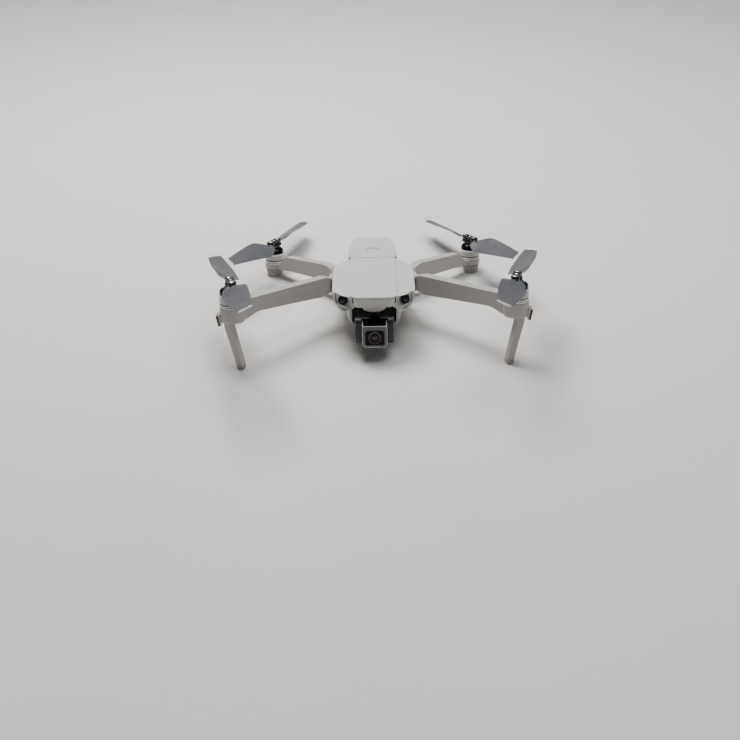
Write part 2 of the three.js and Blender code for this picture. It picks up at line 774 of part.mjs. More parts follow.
addRotor("rear_left", REAR_MOTOR, -1, -1);
addRotor("rear_right", REAR_MOTOR, 1, 1);

// ---- Gimbal and camera ----
const { yawY, rollZ, pitchY, pitchZ } = GIMBAL;
addPart("gimbal_mount", bar([0, yawY, 43.7], [0, yawY, 49.5], 10.6, 10.9), "shell");

function yawArm() {
  return joined(
    bar([0, yawY, 42.5], [0, yawY, 43.4], 7),
    box(-4.5, 4.5, yawY, -51, 42.5, 43.4),
    box(-4.5, 4.5, -55.4, -51, 22, 43.4),
  );
}
addPart("gimbal_yaw_arm", yawArm(), "dark");
addPart("gimbal_roll_motor", bar([0, -60.4, rollZ], [0, -55.7, rollZ], 7.4), "dark");

const CHEEK = { inner: 11.8, outer: 17.2, frontY: -88, bottomZ: 17, topZ: 41.4 };
const PITCH_MOTOR_RADIUS = 6.8;
function yoke() {
  const { inner, outer, frontY, bottomZ, topZ } = CHEEK;
  const cheek = joined(
    box(inner, outer, frontY, -72, bottomZ, 33.5),
    box(inner, outer, frontY, -78, 33, topZ),
    box(outer - 2.4, outer, -73, -60.8, 21, 33),
  );
  const back = box(-outer, outer, -63.2, -60.7, 21, 33);
  const motorSeat = bar(
    [-outer - 1, pitchY, pitchZ],
    [-inner - 1.6, pitchY, pitchZ],
    PITCH_MOTOR_RADIUS + GAP,
  );
  return joined(mirrorPair(cheek), back).subtract(motorSeat);
}
addPart("gimbal_yoke", yoke(), "dark");
const pitchMotor = bar(
  [-CHEEK.outer - 0.4, pitchY, pitchZ],
  [-CHEEK.inner - 1.9, pitchY, pitchZ],
  PITCH_MOTOR_RADIUS,
);
addPart("gimbal_pitch_motor", pitchMotor, "dark");
addJoint("gimbal_yaw", [0, yawY, 43], [0, 0, 1]);
addJoint("gimbal_roll", [0, -60, rollZ], [0, 1, 0]);
addJoint("gimbal_pitch", [0, pitchY, pitchZ], [-1, 0, 0]);

const LENS_Z = 24.2;

// An upright rectangle about x = 0 with cut corners, running along Y.
function cutPanel({ halfWidth, bottomZ, topZ, lowerCut, upperCut }, y0, y1) {
  const half = [
    [halfWidth - lowerCut, bottomZ],
    [halfWidth, bottomZ + lowerCut],
    [halfWidth, topZ - upperCut],
    [halfWidth - upperCut, topZ],
  ];
  return prismY([...half, ...half.map(([x, z]) => [-x, z]).reverse()], y0, y1);
}

const WINDOW = { halfWidth: 8.3, bottomZ: 17.4, topZ: 31, lowerCut: 2, upperCut: 2 };
const windowHole = {
  ...WINDOW,
  halfWidth: WINDOW.halfWidth + GAP,
  bottomZ: WINDOW.bottomZ - GAP,
  topZ: WINDOW.topZ + GAP,
};
const bezelBack = CAMERA.frontY + 1.6;
const lensBack = bezelBack + 8.7;

// Seen from the side, the housing's upper rear edge is cut back to swing clear of the yaw arm.
const REAR_CUT = 3.5;
const housingSide = prismX(
  [
    [CAMERA.frontY, CAMERA.bottomZ],
    [CAMERA.rearY, CAMERA.bottomZ],
    [CAMERA.rearY, CAMERA.topZ - REAR_CUT],
    [CAMERA.rearY - REAR_CUT, CAMERA.topZ],
    [CAMERA.frontY, CAMERA.topZ],
  ],
  -20,
  20,
);
const lensWell = bar([0, bezelBack - 1, LENS_Z], [0, lensBack + GAP, LENS_Z], 6.6);
const housing = cutPanel(CAMERA, bezelBack + GAP, CAMERA.rearY).intersect(housingSide).subtract(lensWell);
const bezel = cutPanel(CAMERA, CAMERA.frontY, bezelBack).subtract(cutPanel(windowHole, -100, -80));
addPart("camera_housing", housing, "dark");
addPart("camera_bezel", bezel, "dark");
addPart("camera_glass", cutPanel(WINDOW, CAMERA.frontY + 0.4, bezelBack), "glass");
addPart("camera_lens", bar([0, bezelBack + GAP + 0.2, LENS_Z], [0, lensBack, LENS_Z], 6.2), "dark");

const out = new THREE.Group();
out.add(aircraft);
out.updateMatrixWorld(true);
const bounds = new THREE.Box3().setFromObject(out, true);
const centre = bounds.getCenter(new THREE.Vector3());
aircraft.position.set(-centre.x, -centre.y, -bounds.min.z);

export default out;
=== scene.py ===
import json
import math

import bmesh
import bpy
from mathutils import Matrix, Vector


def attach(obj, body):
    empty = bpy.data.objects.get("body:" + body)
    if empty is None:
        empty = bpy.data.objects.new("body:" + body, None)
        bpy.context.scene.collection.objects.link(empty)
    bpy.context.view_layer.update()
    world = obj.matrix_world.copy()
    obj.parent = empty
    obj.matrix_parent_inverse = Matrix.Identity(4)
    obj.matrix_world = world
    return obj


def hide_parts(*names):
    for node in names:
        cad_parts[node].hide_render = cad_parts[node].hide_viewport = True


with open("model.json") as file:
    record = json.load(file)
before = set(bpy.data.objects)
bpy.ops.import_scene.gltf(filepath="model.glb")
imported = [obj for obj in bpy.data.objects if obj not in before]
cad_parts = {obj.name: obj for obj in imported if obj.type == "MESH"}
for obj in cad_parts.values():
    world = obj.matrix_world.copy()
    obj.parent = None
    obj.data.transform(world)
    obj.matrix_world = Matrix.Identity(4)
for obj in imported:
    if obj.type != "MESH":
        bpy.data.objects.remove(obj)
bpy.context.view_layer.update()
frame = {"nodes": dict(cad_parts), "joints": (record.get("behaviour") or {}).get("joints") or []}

# Lengths are millimetres in the aircraft frame until a piece is finished: +X right, +Y to the tail, +Z up.
# AIRCRAFT then carries the piece to the row frame, in metres, where the aircraft stands nose-up.
JOINTS = {joint["name"]: joint for joint in frame["joints"]}
FAN_CENTRE = Vector((0, 3, 50))
upright = Vector(JOINTS["fan_spin"]["axis"])
STANCE = math.atan2(upright.y, upright.z)
TURN = Matrix.Rotation(-STANCE, 4, "X")
SHIFT = Vector(JOINTS["fan_spin"]["pos_m"]) - (TURN @ FAN_CENTRE) * 0.001
AIRCRAFT = Matrix.Translation(SHIFT) @ TURN @ Matrix.Scale(0.001, 4)

FRONT_MOTOR = {"x": 126.5, "y": -92.0, "top": 57.0, "radius": 11.2, "bell": 9.7}
REAR_MOTOR = {"x": 101.3, "y": 91.4, "top": 46.5, "radius": 9.8, "bell": 8.4}
SIDES = (("left", -1), ("right", 1))
CORNERS = {
    "front_left": (FRONT_MOTOR, -1, 1),
    "front_right": (FRONT_MOTOR, 1, -1),
    "rear_left": (REAR_MOTOR, -1, -1),
    "rear_right": (REAR_MOTOR, 1, 1),
}
BLADE_HEADINGS = {
    "front_left": (106.5, 284),
    "front_right": (73.5, 256),
    "rear_left": (71, 244),
    "rear_right": (118, 297),
}


# ---------------------------------------------------------------- shapes
def new_object(verts, faces):
    mesh = bpy.data.meshes.new("piece")
    mesh.from_pydata([tuple(v) for v in verts], [], faces)
    mesh.validate()
    solid = bmesh.new()
    solid.from_mesh(mesh)
    bmesh.ops.remove_doubles(solid, verts=solid.verts, dist=1e-5)
    bmesh.ops.recalc_face_normals(solid, faces=solid.faces)
    solid.to_mesh(mesh)
    solid.free()
    made = bpy.data.objects.new("piece", mesh)
    bpy.context.scene.collection.objects.link(made)
    return made


def bake(obj):
    """Turns the object's modifiers into its mesh."""
    view = bpy.context.evaluated_depsgraph_get()
    view.update()
    mesh = bpy.data.meshes.new_from_object(obj.evaluated_get(view))
    old = obj.data
    obj.modifiers.clear()
    obj.data = mesh
    bpy.data.meshes.remove(old)
    return obj


def bevel(obj, width, segments=3, angle=30):
    made = obj.modifiers.new("bevel", "BEVEL")
    made.width = width
    made.segments = segments
    made.limit_method = "ANGLE"
    made.angle_limit = math.radians(angle)
    made.miter_outer = "MITER_ARC"
    return bake(obj)


def combine(obj, tool, operation):
    made = obj.modifiers.new("cut", "BOOLEAN")
    made.operation = operation
    made.solver = "EXACT"
    made.object = tool
    bake(obj)
    discard(tool)
    if not obj.data.polygons:
        raise ValueError("a boolean left nothing of the piece")
    return obj


def discard(obj):
    mesh = obj.data
    bpy.data.objects.remove(obj)
    bpy.data.meshes.remove(mesh)


def cut(obj, *tools):
    for tool in tools:
        combine(obj, tool, "DIFFERENCE")
    return obj


def add(obj, *tools):
    for tool in tools:
        combine(obj, tool, "UNION")
    return obj


def keep(obj, *tools):
    for tool in tools:
        combine(obj, tool, "INTERSECT")
    return obj


def moved(obj, matrix):
    obj.data.transform(matrix)
    if matrix.determinant() < 0:
        obj.data.flip_normals()
    return obj


def copied(obj):
    made = bpy.data.objects.new("piece", obj.data.copy())
    bpy.context.scene.collection.objects.link(made)
    return made


def mirrored(obj):
    return moved(obj, Matrix.Scale(-1, 4, Vector((1, 0, 0))))


def handed(obj, side):
    return mirrored(obj) if side < 0 else obj


def both(obj):
    """The tool and its mirror image as one object; the two don't touch."""
    twin = mirrored(copied(obj))
    return merged([obj, twin])


def merged(parts):
    """Separate closed bodies as one object."""
    solid = bmesh.new()
    for part in parts:
        solid.from_mesh(part.data)
    mesh = bpy.data.meshes.new("piece")
    solid.to_mesh(mesh)
    solid.free()
    for part in parts:
        discard(part)
    made = bpy.data.objects.new("piece", mesh)
    bpy.context.scene.collection.objects.link(made)
    return made


def rounded(points, radius, steps=5):
    """A closed outline with its corners turned to arcs. radius is one number or one for each corner."""
    count = len(points)
    radii = radius if isinstance(radius, (list, tuple)) else [radius] * count
    out = []
    for i in range(count):
        corner = Vector(points[i])
        before = Vector(points[i - 1]) - corner
        after = Vector(points[(i + 1) % count]) - corner
        room = min(before.length, after.length) * 0.48
        half = before.angle(after) / 2
        if radii[i] <= 0 or half > math.radians(88):
            out.append(tuple(corner))
            continue
        reach = min(radii[i] / math.tan(half), room)
        start = corner + before.normalized() * reach
        end = corner + after.normalized() * reach
        for k in range(steps + 1):
            t = k / steps
            a = start.lerp(corner, t)
            b = corner.lerp(end, t)
            out.append(tuple(a.lerp(b, t)))
    return out


def prism(points, low, high, axis="z"):
    place = {
        "x": lambda a, b, c: (c, a, b),
        "y": lambda a, b, c: (a, c, b),
        "z": lambda a, b, c: (a, b, c),
    }[axis]
    count = len(points)
    verts = [place(a, b, low) for a, b in points] + [place(a, b, high) for a, b in points]
    faces = [tuple(range(count))[::-1], tuple(range(count, 2 * count))]
    for i in range(count):
        j = (i + 1) % count
        faces.append((i, j, count + j, count + i))
    return new_object(verts, faces)


def box(x0, x1, y0, y1, z0, z1):
    return prism([(x0, y0), (x1, y0), (x1, y1), (x0, y1)], z0, z1)


def loft(rings):
    count = len(rings[0])
    verts = [p for ring in rings for p in ring]
    last = (len(rings) - 1) * count
    faces = [tuple(range(count))[::-1], tuple(range(last, last + count))]
    for r in range(len(rings) - 1):
        for i in range(count):
            j = (i + 1) % count
            faces.append((r * count + i, r * count + j, (r + 1) * count + j, (r + 1) * count + i))
    return new_object(verts, faces)


def lathe(profile, steps=64):
    """A solid of revolution about Z from (radius, height) pairs that start and end on the axis, or close."""
    verts = []
    faces = []
    index = []
    for radius, height in profile:
        if radius < 1e-6:
            index.append([len(verts)] * steps)
            verts.append((0, 0, height))
        else:
            index.append(list(range(len(verts), len(verts) + steps)))
            for i in range(steps):
                angle = 2 * math.pi * i / steps
                verts.append((radius * math.cos(angle), radius * math.sin(angle), height))
    closed = profile[0][0] > 1e-6
    rows = len(profile) if closed else len(profile) - 1
    for r in range(rows):
        low, high = index[r], index[(r + 1) % len(profile)]
        for i in range(steps):
            j = (i + 1) % steps
            corners = []
            for corner in (low[i], low[j], high[j], high[i]):
                if corner not in corners:
                    corners.append(corner)
            if len(corners) > 2:
                faces.append(corners)
    return new_object(verts, faces)


def along(start, end):
    """A matrix that carries +Z at the origin to the line from start to end."""
    direction = Vector(end) - Vector(start)
    turn = Vector((0, 0, 1)).rotation_difference(direction).to_matrix().to_4x4()
    return Matrix.Translation(Vector(start)) @ turn


def rod(start, end, r0, r1=None, steps=40, soft=0.0):
    """A round bar between two points, its edges rounded by soft."""
    r1 = r0 if r1 is None else r1
    length = (Vector(end) - Vector(start)).length
    profile = [(0, 0), (r0, 0), (r1, length), (0, length)]
    if soft:
        profile = [(0, 0), (r0 - soft, 0), (r0 - soft * 0.3, soft * 0.3), (r0, soft)]
        profile += [
            (r1, length - soft), (r1 - soft * 0.3, length - soft * 0.3), (r1 - soft, length),
            (0, length),
        ]
    return moved(lathe(profile, steps), along(start, end))


def screw(start, direction, radius=1.3, height=0.5):
    """A small screw head with a six-lobed recess, standing at start and facing direction."""
    head = lathe([(0, 0), (radius, 0), (radius, height * 0.7), (radius * 0.82, height), (0, height)], 28)
    lobes = []
    for i in range(12):
        angle = math.pi * i / 6
        reach = radius * (0.52 if i % 2 else 0.36)
        lobes.append((reach * math.cos(angle), reach * math.sin(angle)))
    cut(head, prism(lobes, height * 0.35, height + 1))
    return moved(head, along(start, Vector(start) + Vector(direction)))


def finish_piece(obj, name, body, material, replaces=(), sharp=32, painted=()):
    """material is one material, or two of them with painted holding the faces that wear the second.
    """
    obj.data.transform(AIRCRAFT)
    obj.name = name
    obj.data.name = name
    obj.data.materials.clear()
    for item in material if isinstance(material, (list, tuple)) else [material]:
        obj.data.materials.append(item)
    for face in painted:
        obj.data.polygons[face].material_index = 1
    obj.data.shade_smooth()
    obj.data.set_sharp_from_angle(angle=math.radians(sharp))
    weighted = obj.modifiers.new("normals", "WEIGHTED_NORMAL")
    weighted.keep_sharp = True
    weighted.weight = 60
    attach(obj, body)
    if replaces:
        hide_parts(*replaces)
    return obj


# ---------------------------------------------------------------- materials
def linear(code):
    """An sRGB colour such as "c2c1be" as linear RGBA."""
    values = [int(code[i : i + 2], 16) / 255 for i in (0, 2, 4)]
    return [v / 12.92 if v <= 0.04045 else ((v + 0.055) / 1.055) ** 2.4 for v in values] + [1.0]


def surface(
    name,
    colour,
    rough=0.5,
    rough_spread=0.08,
    tint=0.05,
    grain=1600,
    grain_depth=0.00002,
    smudge=60,
    metallic=0.0,
    coat=0.0,
    coat_rough=0.1,
    specular=0.5,
    stretch=(1, 1, 1),
    second=None,
):
    """A moulded or machined surface: fine grain in its bump, slow colour drift, and patchy roughness."""
    material = bpy.data.materials.new(name)
    material.use_nodes = True
    tree = material.node_tree
    shader = tree.nodes["Principled BSDF"]
    shader.inputs["Metallic"].default_value = metallic
    shader.inputs["Coat Weight"].default_value = coat
    shader.inputs["Coat Roughness"].default_value = coat_rough
    shader.inputs["Specular IOR Level"].default_value = specular
    place = tree.nodes.new("ShaderNodeTexCoord")
    scaled = tree.nodes.new("ShaderNodeMapping")
    scaled.inputs["Scale"].default_value = stretch
    tree.links.new(place.outputs["Object"], scaled.inputs["Vector"])

    def noise(scale, detail=3.0):
        node = tree.nodes.new("ShaderNodeTexNoise")
        node.inputs["Scale"].default_value = scale
        node.inputs["Detail"].default_value = detail
        tree.links.new(scaled.outputs["Vector"], node.inputs["Vector"])
        return node

    def ramp(source, low, high):
        node = tree.nodes.new("ShaderNodeMapRange")
        node.inputs["From Min"].default_value = 0.3
        node.inputs["From Max"].default_value = 0.7
        node.inputs["To Min"].default_value = low
        node.inputs["To Max"].default_value = high
        tree.links.new(source, node.inputs["Value"])
        return node.outputs["Result"]

    drift = noise(smudge)
    fleck = noise(grain)
    base = linear(colour)
    other = linear(second) if second else [c * (1 - tint * 2.2) for c in base[:3]] + [1.0]
    mix = tree.nodes.new("ShaderNodeMix")
    mix.data_type = "RGBA"
    mix.inputs[6].default_value = [min(1, c * (1 + tint)) for c in base[:3]] + [1.0]
    mix.inputs[7].default_value = other
    blend = tree.nodes.new("ShaderNodeMath")
    blend.operation = "MULTIPLY_ADD"
    blend.inputs[1].default_value = 0.45
    tree.links.new(ramp(fleck.outputs["Fac"], 0.0, 1.0), blend.inputs[0])
    tree.links.new(ramp(drift.outputs["Fac"], 0.0, 0.5), blend.inputs[2])
    tree.links.new(blend.outputs[0], mix.inputs[0])
    tree.links.new(mix.outputs[2], shader.inputs["Base Color"])
    tree.links.new(
        ramp(noise(smudge * 2.3, 5.0).outputs["Fac"], rough - rough_spread, rough + rough_spread),
        shader.inputs["Roughness"],
    )
    bump = tree.nodes.new("ShaderNodeBump")
    bump.inputs["Strength"].default_value = 0.5
    bump.inputs["Distance"].default_value = grain_depth
    tree.links.new(fleck.outputs["Fac"], bump.inputs["Height"])
    tree.links.new(bump.outputs["Normal"], shader.inputs["Normal"])
    return material


SHELL = surface("shell_plastic", "c4c3c0", rough=0.5, tint=0.03, grain=2200, grain_depth=0.000016)
ARM = surface("arm_plastic", "aeaba7", rough=0.47, tint=0.035, grain=2200, grain_depth=0.000016)
PAD = surface("grip_plastic", "8d8c8a", rough=0.6, tint=0.05, grain=1500, grain_depth=0.00003)
# Black: the black plastic parts, and the painted shade sheet inside the gimbal bay.
BLACK_AND_SHADE = surface("black_plastic_and_painted_shade", "131315", rough=0.42, rough_spread=0.1, tint=0.12, grain=1900)
GLOSS = surface("black_gloss", "040405", rough=0.14, rough_spread=0.04, tint=0.2, specular=0.1, coat=0.04)
BLADE = surface("blade_plastic", "505256", rough=0.42, tint=0.06, grain=1400, stretch=(1, 1, 3))
# Bright white: the paint on the blade tips, and painted highlights on the motor rings, bell lips, bell rims
# and camera edges.
TIP_PAINT_AND_HIGHLIGHT = surface("tip_paint_and_painted_highlight", "f4f4f2", rough=0.26, tint=0.02, coat=0.4, coat_rough=0.15)
BELL = surface("motor_bell_paint", "bdb9b6", rough=0.34, tint=0.03, coat=0.25, coat_rough=0.2)
SILVER = surface("bright_metal", "d6d8dc", rough=0.22, tint=0.05, metallic=1.0, grain=900, stretch=(1, 1, 12))
STEEL = surface("dark_steel", "6d6f74", rough=0.32, tint=0.1, metallic=1.0, grain=1100)
COPPER = surface(
    "copper_winding", "b5642c", rough=0.33, tint=0.2, metallic=0.9, grain=1200, stretch=(1, 1, 9),
)
FOOT = surface(
    "foot_plastic", "9a9794", rough=0.62, rough_spread=0.06, tint=0.06, grain=1300, grain_depth=0.00005,
)
ANODISED = surface(
    "anodised_shell", "5e5a5f", rough=0.3, rough_spread=0.07, tint=0.08, metallic=0.75, grain=1500,
)
GLASS = surface("coated_glass", "040507", rough=0.07, rough_spread=0.03, tint=0.3, specular=0.3, coat=0.15)
LENS = surface(
    "lens_coating", "3a0f12", rough=0.06, rough_spread=0.02, tint=0.3, specular=0.3, coat=0.3,
    second="0f3320",
)
RED = surface("red_window", "1d0807", rough=0.16, rough_spread=0.05, tint=0.2, coat=0.7, coat_rough=0.08)
BOARD = surface(
    "board_mask", "1c5b39", rough=0.36, tint=0.1, grain=600, smudge=260, coat=0.3, second="123d27",
)
CELLS = surface("cell_wrap", "4a6f95", rough=0.42, tint=0.1, grain=700, coat=0.2, second="35506d")
LAMP = surface(
    "lamp_lens", "d9d9cf", rough=0.12, rough_spread=0.04, tint=0.08, coat=0.8, coat_rough=0.05,
    grain=500,
)
ALUMINIUM = surface(
    "machined_fins", "b9bbbf", rough=0.3, tint=0.06, metallic=1.0, grain=700, stretch=(6, 1, 1),
)

# ---------------------------------------------------------------- head cover
HALF_WIDTH = 38.5
CREASE_X = 21.0
ROOF_Z = 63.2
ROOF_SLOPE = 0.052
WING_DROP = 3.0
SEAM_Y = 35.0
NOSE_Y = -80.0
FLOOR_Z = 45.0
WALL = 1.8
GAP = 0.3
HEAD_HALF = (
    (15.8, NOSE_Y), (33.5, -63.5), (37.3, -57), (HALF_WIDTH, -46), (HALF_WIDTH, 15), (33.5, 25),
    (25, 34), (22, SEAM_Y),
)
HEAD_RADII = (1.2, 2, 3, 4, 2.2, 3, 1, 0.5)


def head_outline(inset):
    right = [(x - inset, y + (inset * 0.8 if y < 0 else -inset * 0.6)) for x, y in HEAD_HALF]
    whole = right + [(-x, y) for x, y in reversed(right)]
    radii = list(HEAD_RADII) + list(reversed(HEAD_RADII))
    return rounded(whole, radii, 5)


def roof(lower):
    """Everything under the roof: flat between the creases, falling a little over the wings."""
    edge = HALF_WIDTH + 6
    fall = WING_DROP * (edge - CREASE_X) / (HALF_WIDTH - CREASE_X)
    top = ROOF_Z - lower
    half = [
        (edge, top - fall), (CREASE_X + 1.7, top - 1.35), (CREASE_X - 0.1, top - 0.05),
        (CREASE_X - 1.0, top),
    ]
    section = [(-edge, 20), (edge, 20)] + half + [(-x, z) for x, z in reversed(half)]
    made = prism(section, NOSE_Y - 5, SEAM_Y + 5, "y")
    for vertex in made.data.vertices:
        vertex.co.z += ROOF_SLOPE * vertex.co.y
    return made


def corner_cut():
    """Both lower front corners of the head, cut back behind the sensor pods and fading out to the rear."""
    outline = [(37.6, 53), (37.4, 50.4), (35.4, 46), (30, 42), (29, 40), (46, 40), (46, 53)]
    rings = [
        [(x + shift, y, z - shift * 0.4) for x, z in outline]
        for shift, y in ((0, -58), (0.3, -44), (3, -30))
    ]
    return both(loft(rings))


def head_cover():
    bottom = FLOOR_Z + GAP
    outer = keep(prism(head_outline(0), bottom, 80), roof(0))
    inner = keep(prism(head_outline(WALL), bottom - 1, 80), roof(WALL))
    visor = box(-50, 50, NOSE_Y - 5, -56, bottom - 1, 57.5)
    arm_slot = both(keep(box(28.8, 50, -20.5, 22, bottom - 1, 58.4), box(0, 60, -60, 60, 0, 90)))
    mouth = box(-19.7, 19.7, SEAM_Y - 6.3, SEAM_Y + 5.1, bottom - 1.3, 59.9)
    return bevel(cut(outer, inner, mouth, visor, arm_slot, corner_cut()), 0.9, 3, 38)


finish_piece(head_cover(), "head_cover", "airframe", SHELL, ["top_shell"])

# ---------------------------------------------------------------- front fascia and vision sensors
SENSOR = Vector((28.5, -69, 52.6))
FASCIA_HALF = (
    (37.6, 57.2), (37.5, 50.6), (35.7, 46.4), (29.9, 42.2), (25.6, 42.2), (19.2, 47.0), (16.5, 49.6),
)


def fascia():
    face = list(FASCIA_HALF) + [(-x, z) for x, z in reversed(FASCIA_HALF)]
    face = rounded(face, [0.6, 1.5, 1.5, 1.2, 1.2, 2, 1] + [1, 2, 1.2, 1.2, 1.5, 1.5, 0.6], 4)
    front = keep(prism(head_outline(0.3), 40, 57.2), prism(face, NOSE_Y - 5, -56.3, "y"))
    bevel(front, 0.6, 2, 35)
    pod = [
        (36, 57.3), (35.8, 51.2), (34.4, 47.6), (29.3, 43.7), (25.9, 43.7), (20.2, 48.2), (18, 50.2),
        (18, 57.3),
    ]
    step = prism(rounded(pod, [0, 1.5, 1.5, 1, 1, 2, 1, 0], 4), NOSE_Y - 5, -50, "y")
    cut(step, prism(head_outline(1.7), 35, 65))
    cut(front, both(step))
    scoop = rod((SENSOR.x + 0.2, -65.6, SENSOR.z), (SENSOR.x - 6.0, -87, SENSOR.z - 3.4), 4.7, 10.8, 56)
    seat = rod((SENSOR.x, -80, SENSOR.z), (SENSOR.x, -55, SENSOR.z), 4.5, steps=56)
    cut(front, both(scoop), both(seat))
    return cut(front, box(-20, 20, -74, -50, 51.6, 60))


finish_piece(fascia(), "nose_fascia", "airframe", SHELL, ["front_fascia"], sharp=28)

for side_name, side in SIDES:
    barrel = lathe(
        [
            (0, 0), (4.3, 0), (4.3, 2.2), (4.0, 2.5), (3.6, 2.5), (3.3, 2.1), (3.1, 2.1), (2.9, 2.4),
            (1.9, 3.0),
            (1.0, 3.25), (0, 3.35),
        ],
        56,
    )
    barrel = moved(barrel, along((SENSOR.x, -64.2, SENSOR.z), (SENSOR.x, -90, SENSOR.z)))
    finish_piece(
        handed(barrel, side), f"vision_lens_{side_name}", "airframe", GLASS, [
            f"front_sensor_{side_name}",
        ]
    )
    ring = lathe([(1.2, 3.05), (1.3, 3.2), (1.4, 3.2), (1.5, 3.0), (1.35, 2.85)], 40)
    ring = moved(ring, along((SENSOR.x, -64.2, SENSOR.z), (SENSOR.x, -90, SENSOR.z)))
    finish_piece(handed(ring, side), f"vision_ring_{side_name}", "airframe", STEEL)

# ---------------------------------------------------------------- lower body
TAIL_Y = 106.0
TAIL_SENSOR = (9.0, 42.0)


def belly_space(inset):
    half = [(23, -56), (27, -36), (28.5, 40), (25, 84), (20, 101), (14, TAIL_Y)]
    right = [(x - inset, y - (inset if y > 90 else 0)) for x, y in half]
    plan = rounded(
        right + [(-x, y) for x, y in reversed(right)], [0.8, 12, 20, 20, 5, 3, 3, 5, 20, 20, 12, 0.8]
    )
    side = [
        (-60, 26 + inset), (0, 27 + inset), (50, 31.5 + inset), (82, 36.6 + inset),
        (TAIL_Y + 2, 42 + inset), (TAIL_Y + 2, 60), (-60, 60),
    ]
    section = [
        (-21.5 + inset, 20), (21.5 - inset, 20), (22 - inset, 28), (27.5 - inset, 36), (30 - inset, 60),
        (-30 + inset, 60), (-27.5 + inset, 36), (-22 + inset, 28),
    ]
    side = rounded(side, [0, 30, 30, 20, 0, 0, 0])
    section = rounded(section, [0, 0, 4, 6, 0, 0, 6, 4])
    return keep(prism(plan, 20, FLOOR_Z), prism(side, -40, 40, "x"), prism(section, -60, 115, "y"))


REAR_PIN = Vector((36, 33, 36))
REAR_REACH = Vector((REAR_MOTOR["x"] - REAR_PIN.x, REAR_MOTOR["y"] - REAR_PIN.y))
PIN_SLANT = (REAR_REACH.normalized() + Vector((0.05, -1)).normalized()).normalized()


def along_rear_pin(distance):
    return (REAR_PIN.x + PIN_SLANT.x * distance, REAR_PIN.y + PIN_SLANT.y * distance, REAR_PIN.z)


def belly():
    body = bevel(belly_space(0), 1.2, 3, 38)
    ledge = keep(prism(head_outline(0), FLOOR_Z - 2.2, FLOOR_Z), box(-50, 50, -56, SEAM_Y - 0.2, 40, 50))
    cut(ledge, corner_cut())
    bevel(ledge, 0.5, 2, 40)
    add(body, ledge)
    cavity = keep(belly_space(WALL), box(-40, 40, -60, 115, 20, FLOOR_Z - 2))
    cut(body, cavity, box(-22, 22, -50, 28, 35, 60), box(-19, 19, -70, -38, 15, FLOOR_Z + 1))
    add(body, box(-20, 20, -38, -36, 27.5, FLOOR_Z - 2.5))
    add(body, keep(belly_space(0.05), box(-40, 40, SEAM_Y, 115, FLOOR_Z - 2, FLOOR_Z - 0.02)))
    cut(body, both(rod(along_rear_pin(-20), along_rear_pin(0), 2.6)))
    cut(body, bevel(box(-19.3, 19.3, 2.7, 17.3, 20, 32), 1.6, 3), rod((0, 30, 20), (0, 30, 34), 5.4))
    cut(body, both(rod((TAIL_SENSOR[0], 90, TAIL_SENSOR[1]), (TAIL_SENSOR[0], 115, TAIL_SENSOR[1]), 2.7)))
    for i in range(7):
        y = 46 + i * 4.6
        vent = prism(rounded([(y, 37), (y + 2, 37), (y + 3.6, 42.4), (y + 1.6, 42.4)], 0.6, 3), 20, 34, "x")
        cut(body, both(vent))
    for i in range(9):
        x = -10 + i * 2.5
        cut(
            body,
            prism(rounded([(x - 0.6, -30), (x + 0.6, -30), (x + 0.6, -14), (x - 0.6, -14)], 0.5, 3), 20, 34),
        )
    return body


finish_piece(belly(), "belly_shell", "airframe", SHELL, ["bottom_shell"], sharp=30)
belly_screws = []
for x, y, z in ((17, -45, 26.5), (17, 24, 29), (17, 60, 33), (12, 92, 38.5), (15, -6, 26.9)):
    for side in (-1, 1):
        belly_screws.append(screw((side * x, y, z + 0.2), (0, 0.06, -1), 1.5, 0.7))
finish_piece(merged(belly_screws), "belly_screws", "airframe", STEEL)

# A dark sheet inside the gimbal bay, on its two walls, its rear wall and its ceiling: painted shade where the
# bay lies in shadow.
bay_shade = bevel(box(-18.9, 18.9, -55.6, -38.1, 26.6, 42.6), 0.4, 2)
cut(bay_shade, box(-18.3, 18.3, -60, -38.7, 20, 42.2))
for x in (-12, -6, 0, 6, 12):
    add(bay_shade, box(x - 0.4, x + 0.4, -39, -38.4, 28, 41))
finish_piece(bay_shade, "bay_painted_shade", "airframe", BLACK_AND_SHADE)

# Belly window: two lenses and two small emitters behind one dark panel.
low, high = 27.4, 31.5
panel = bevel(prism(rounded([(-19, 3), (19, 3), (19, 17), (-19, 17)], 2.2), low, high), 0.5, 2)
for x in (-12.5, 12.5):
    cut(panel, rod((x, 10, low - 1), (x, 10, low + 0.8), 3.6))
for x in (-3, 3):
    cut(panel, rod((x, 10, low - 1), (x, 10, low + 0.5), 1.8))
finish_piece(panel, "belly_window", "airframe", GLOSS, ["downward_sensor"])
eyes = []
for x, radius in ((-12.5, 3.3), (12.5, 3.3), (-3, 1.6), (3, 1.6)):
    dome = lathe([(0, 0.1), (radius, 0.1), (radius, 0.4), (radius * 0.6, 0.75), (0, 0.9)], 40)
    eyes.append(moved(dome, along((x, 10, low + 0.95), (x, 10, 0))))
finish_piece(merged(eyes), "belly_lenses", "airframe", LENS)
lamp = lathe([(0, 0), (5, 0), (5, 3.8), (4.6, 4.3), (3.6, 4.5), (3.2, 4.1), (1.2, 4.3), (0, 4.4)], 48)
finish_piece(
    moved(lamp, along((0, 30, 33), (0, 30, 0))), "belly_lamp", "airframe", LAMP,
    ["landing_light"],
)

for side_name, side in SIDES:
    tail = lathe([(0, 0), (2.3, 0), (2.3, 4.6), (2.0, 4.95), (1.5, 4.7), (0.8, 5.05), (0, 5.15)], 40)
    tail = moved(
        tail,
        along((TAIL_SENSOR[0], TAIL_Y - 5, TAIL_SENSOR[1]), (TAIL_SENSOR[0], TAIL_Y, TAIL_SENSOR[1])),
    )
    finish_piece(
        handed(tail, side), f"tail_lens_{side_name}", "airframe", GLASS,
        [f"rear_sensor_{side_name}"],
    )

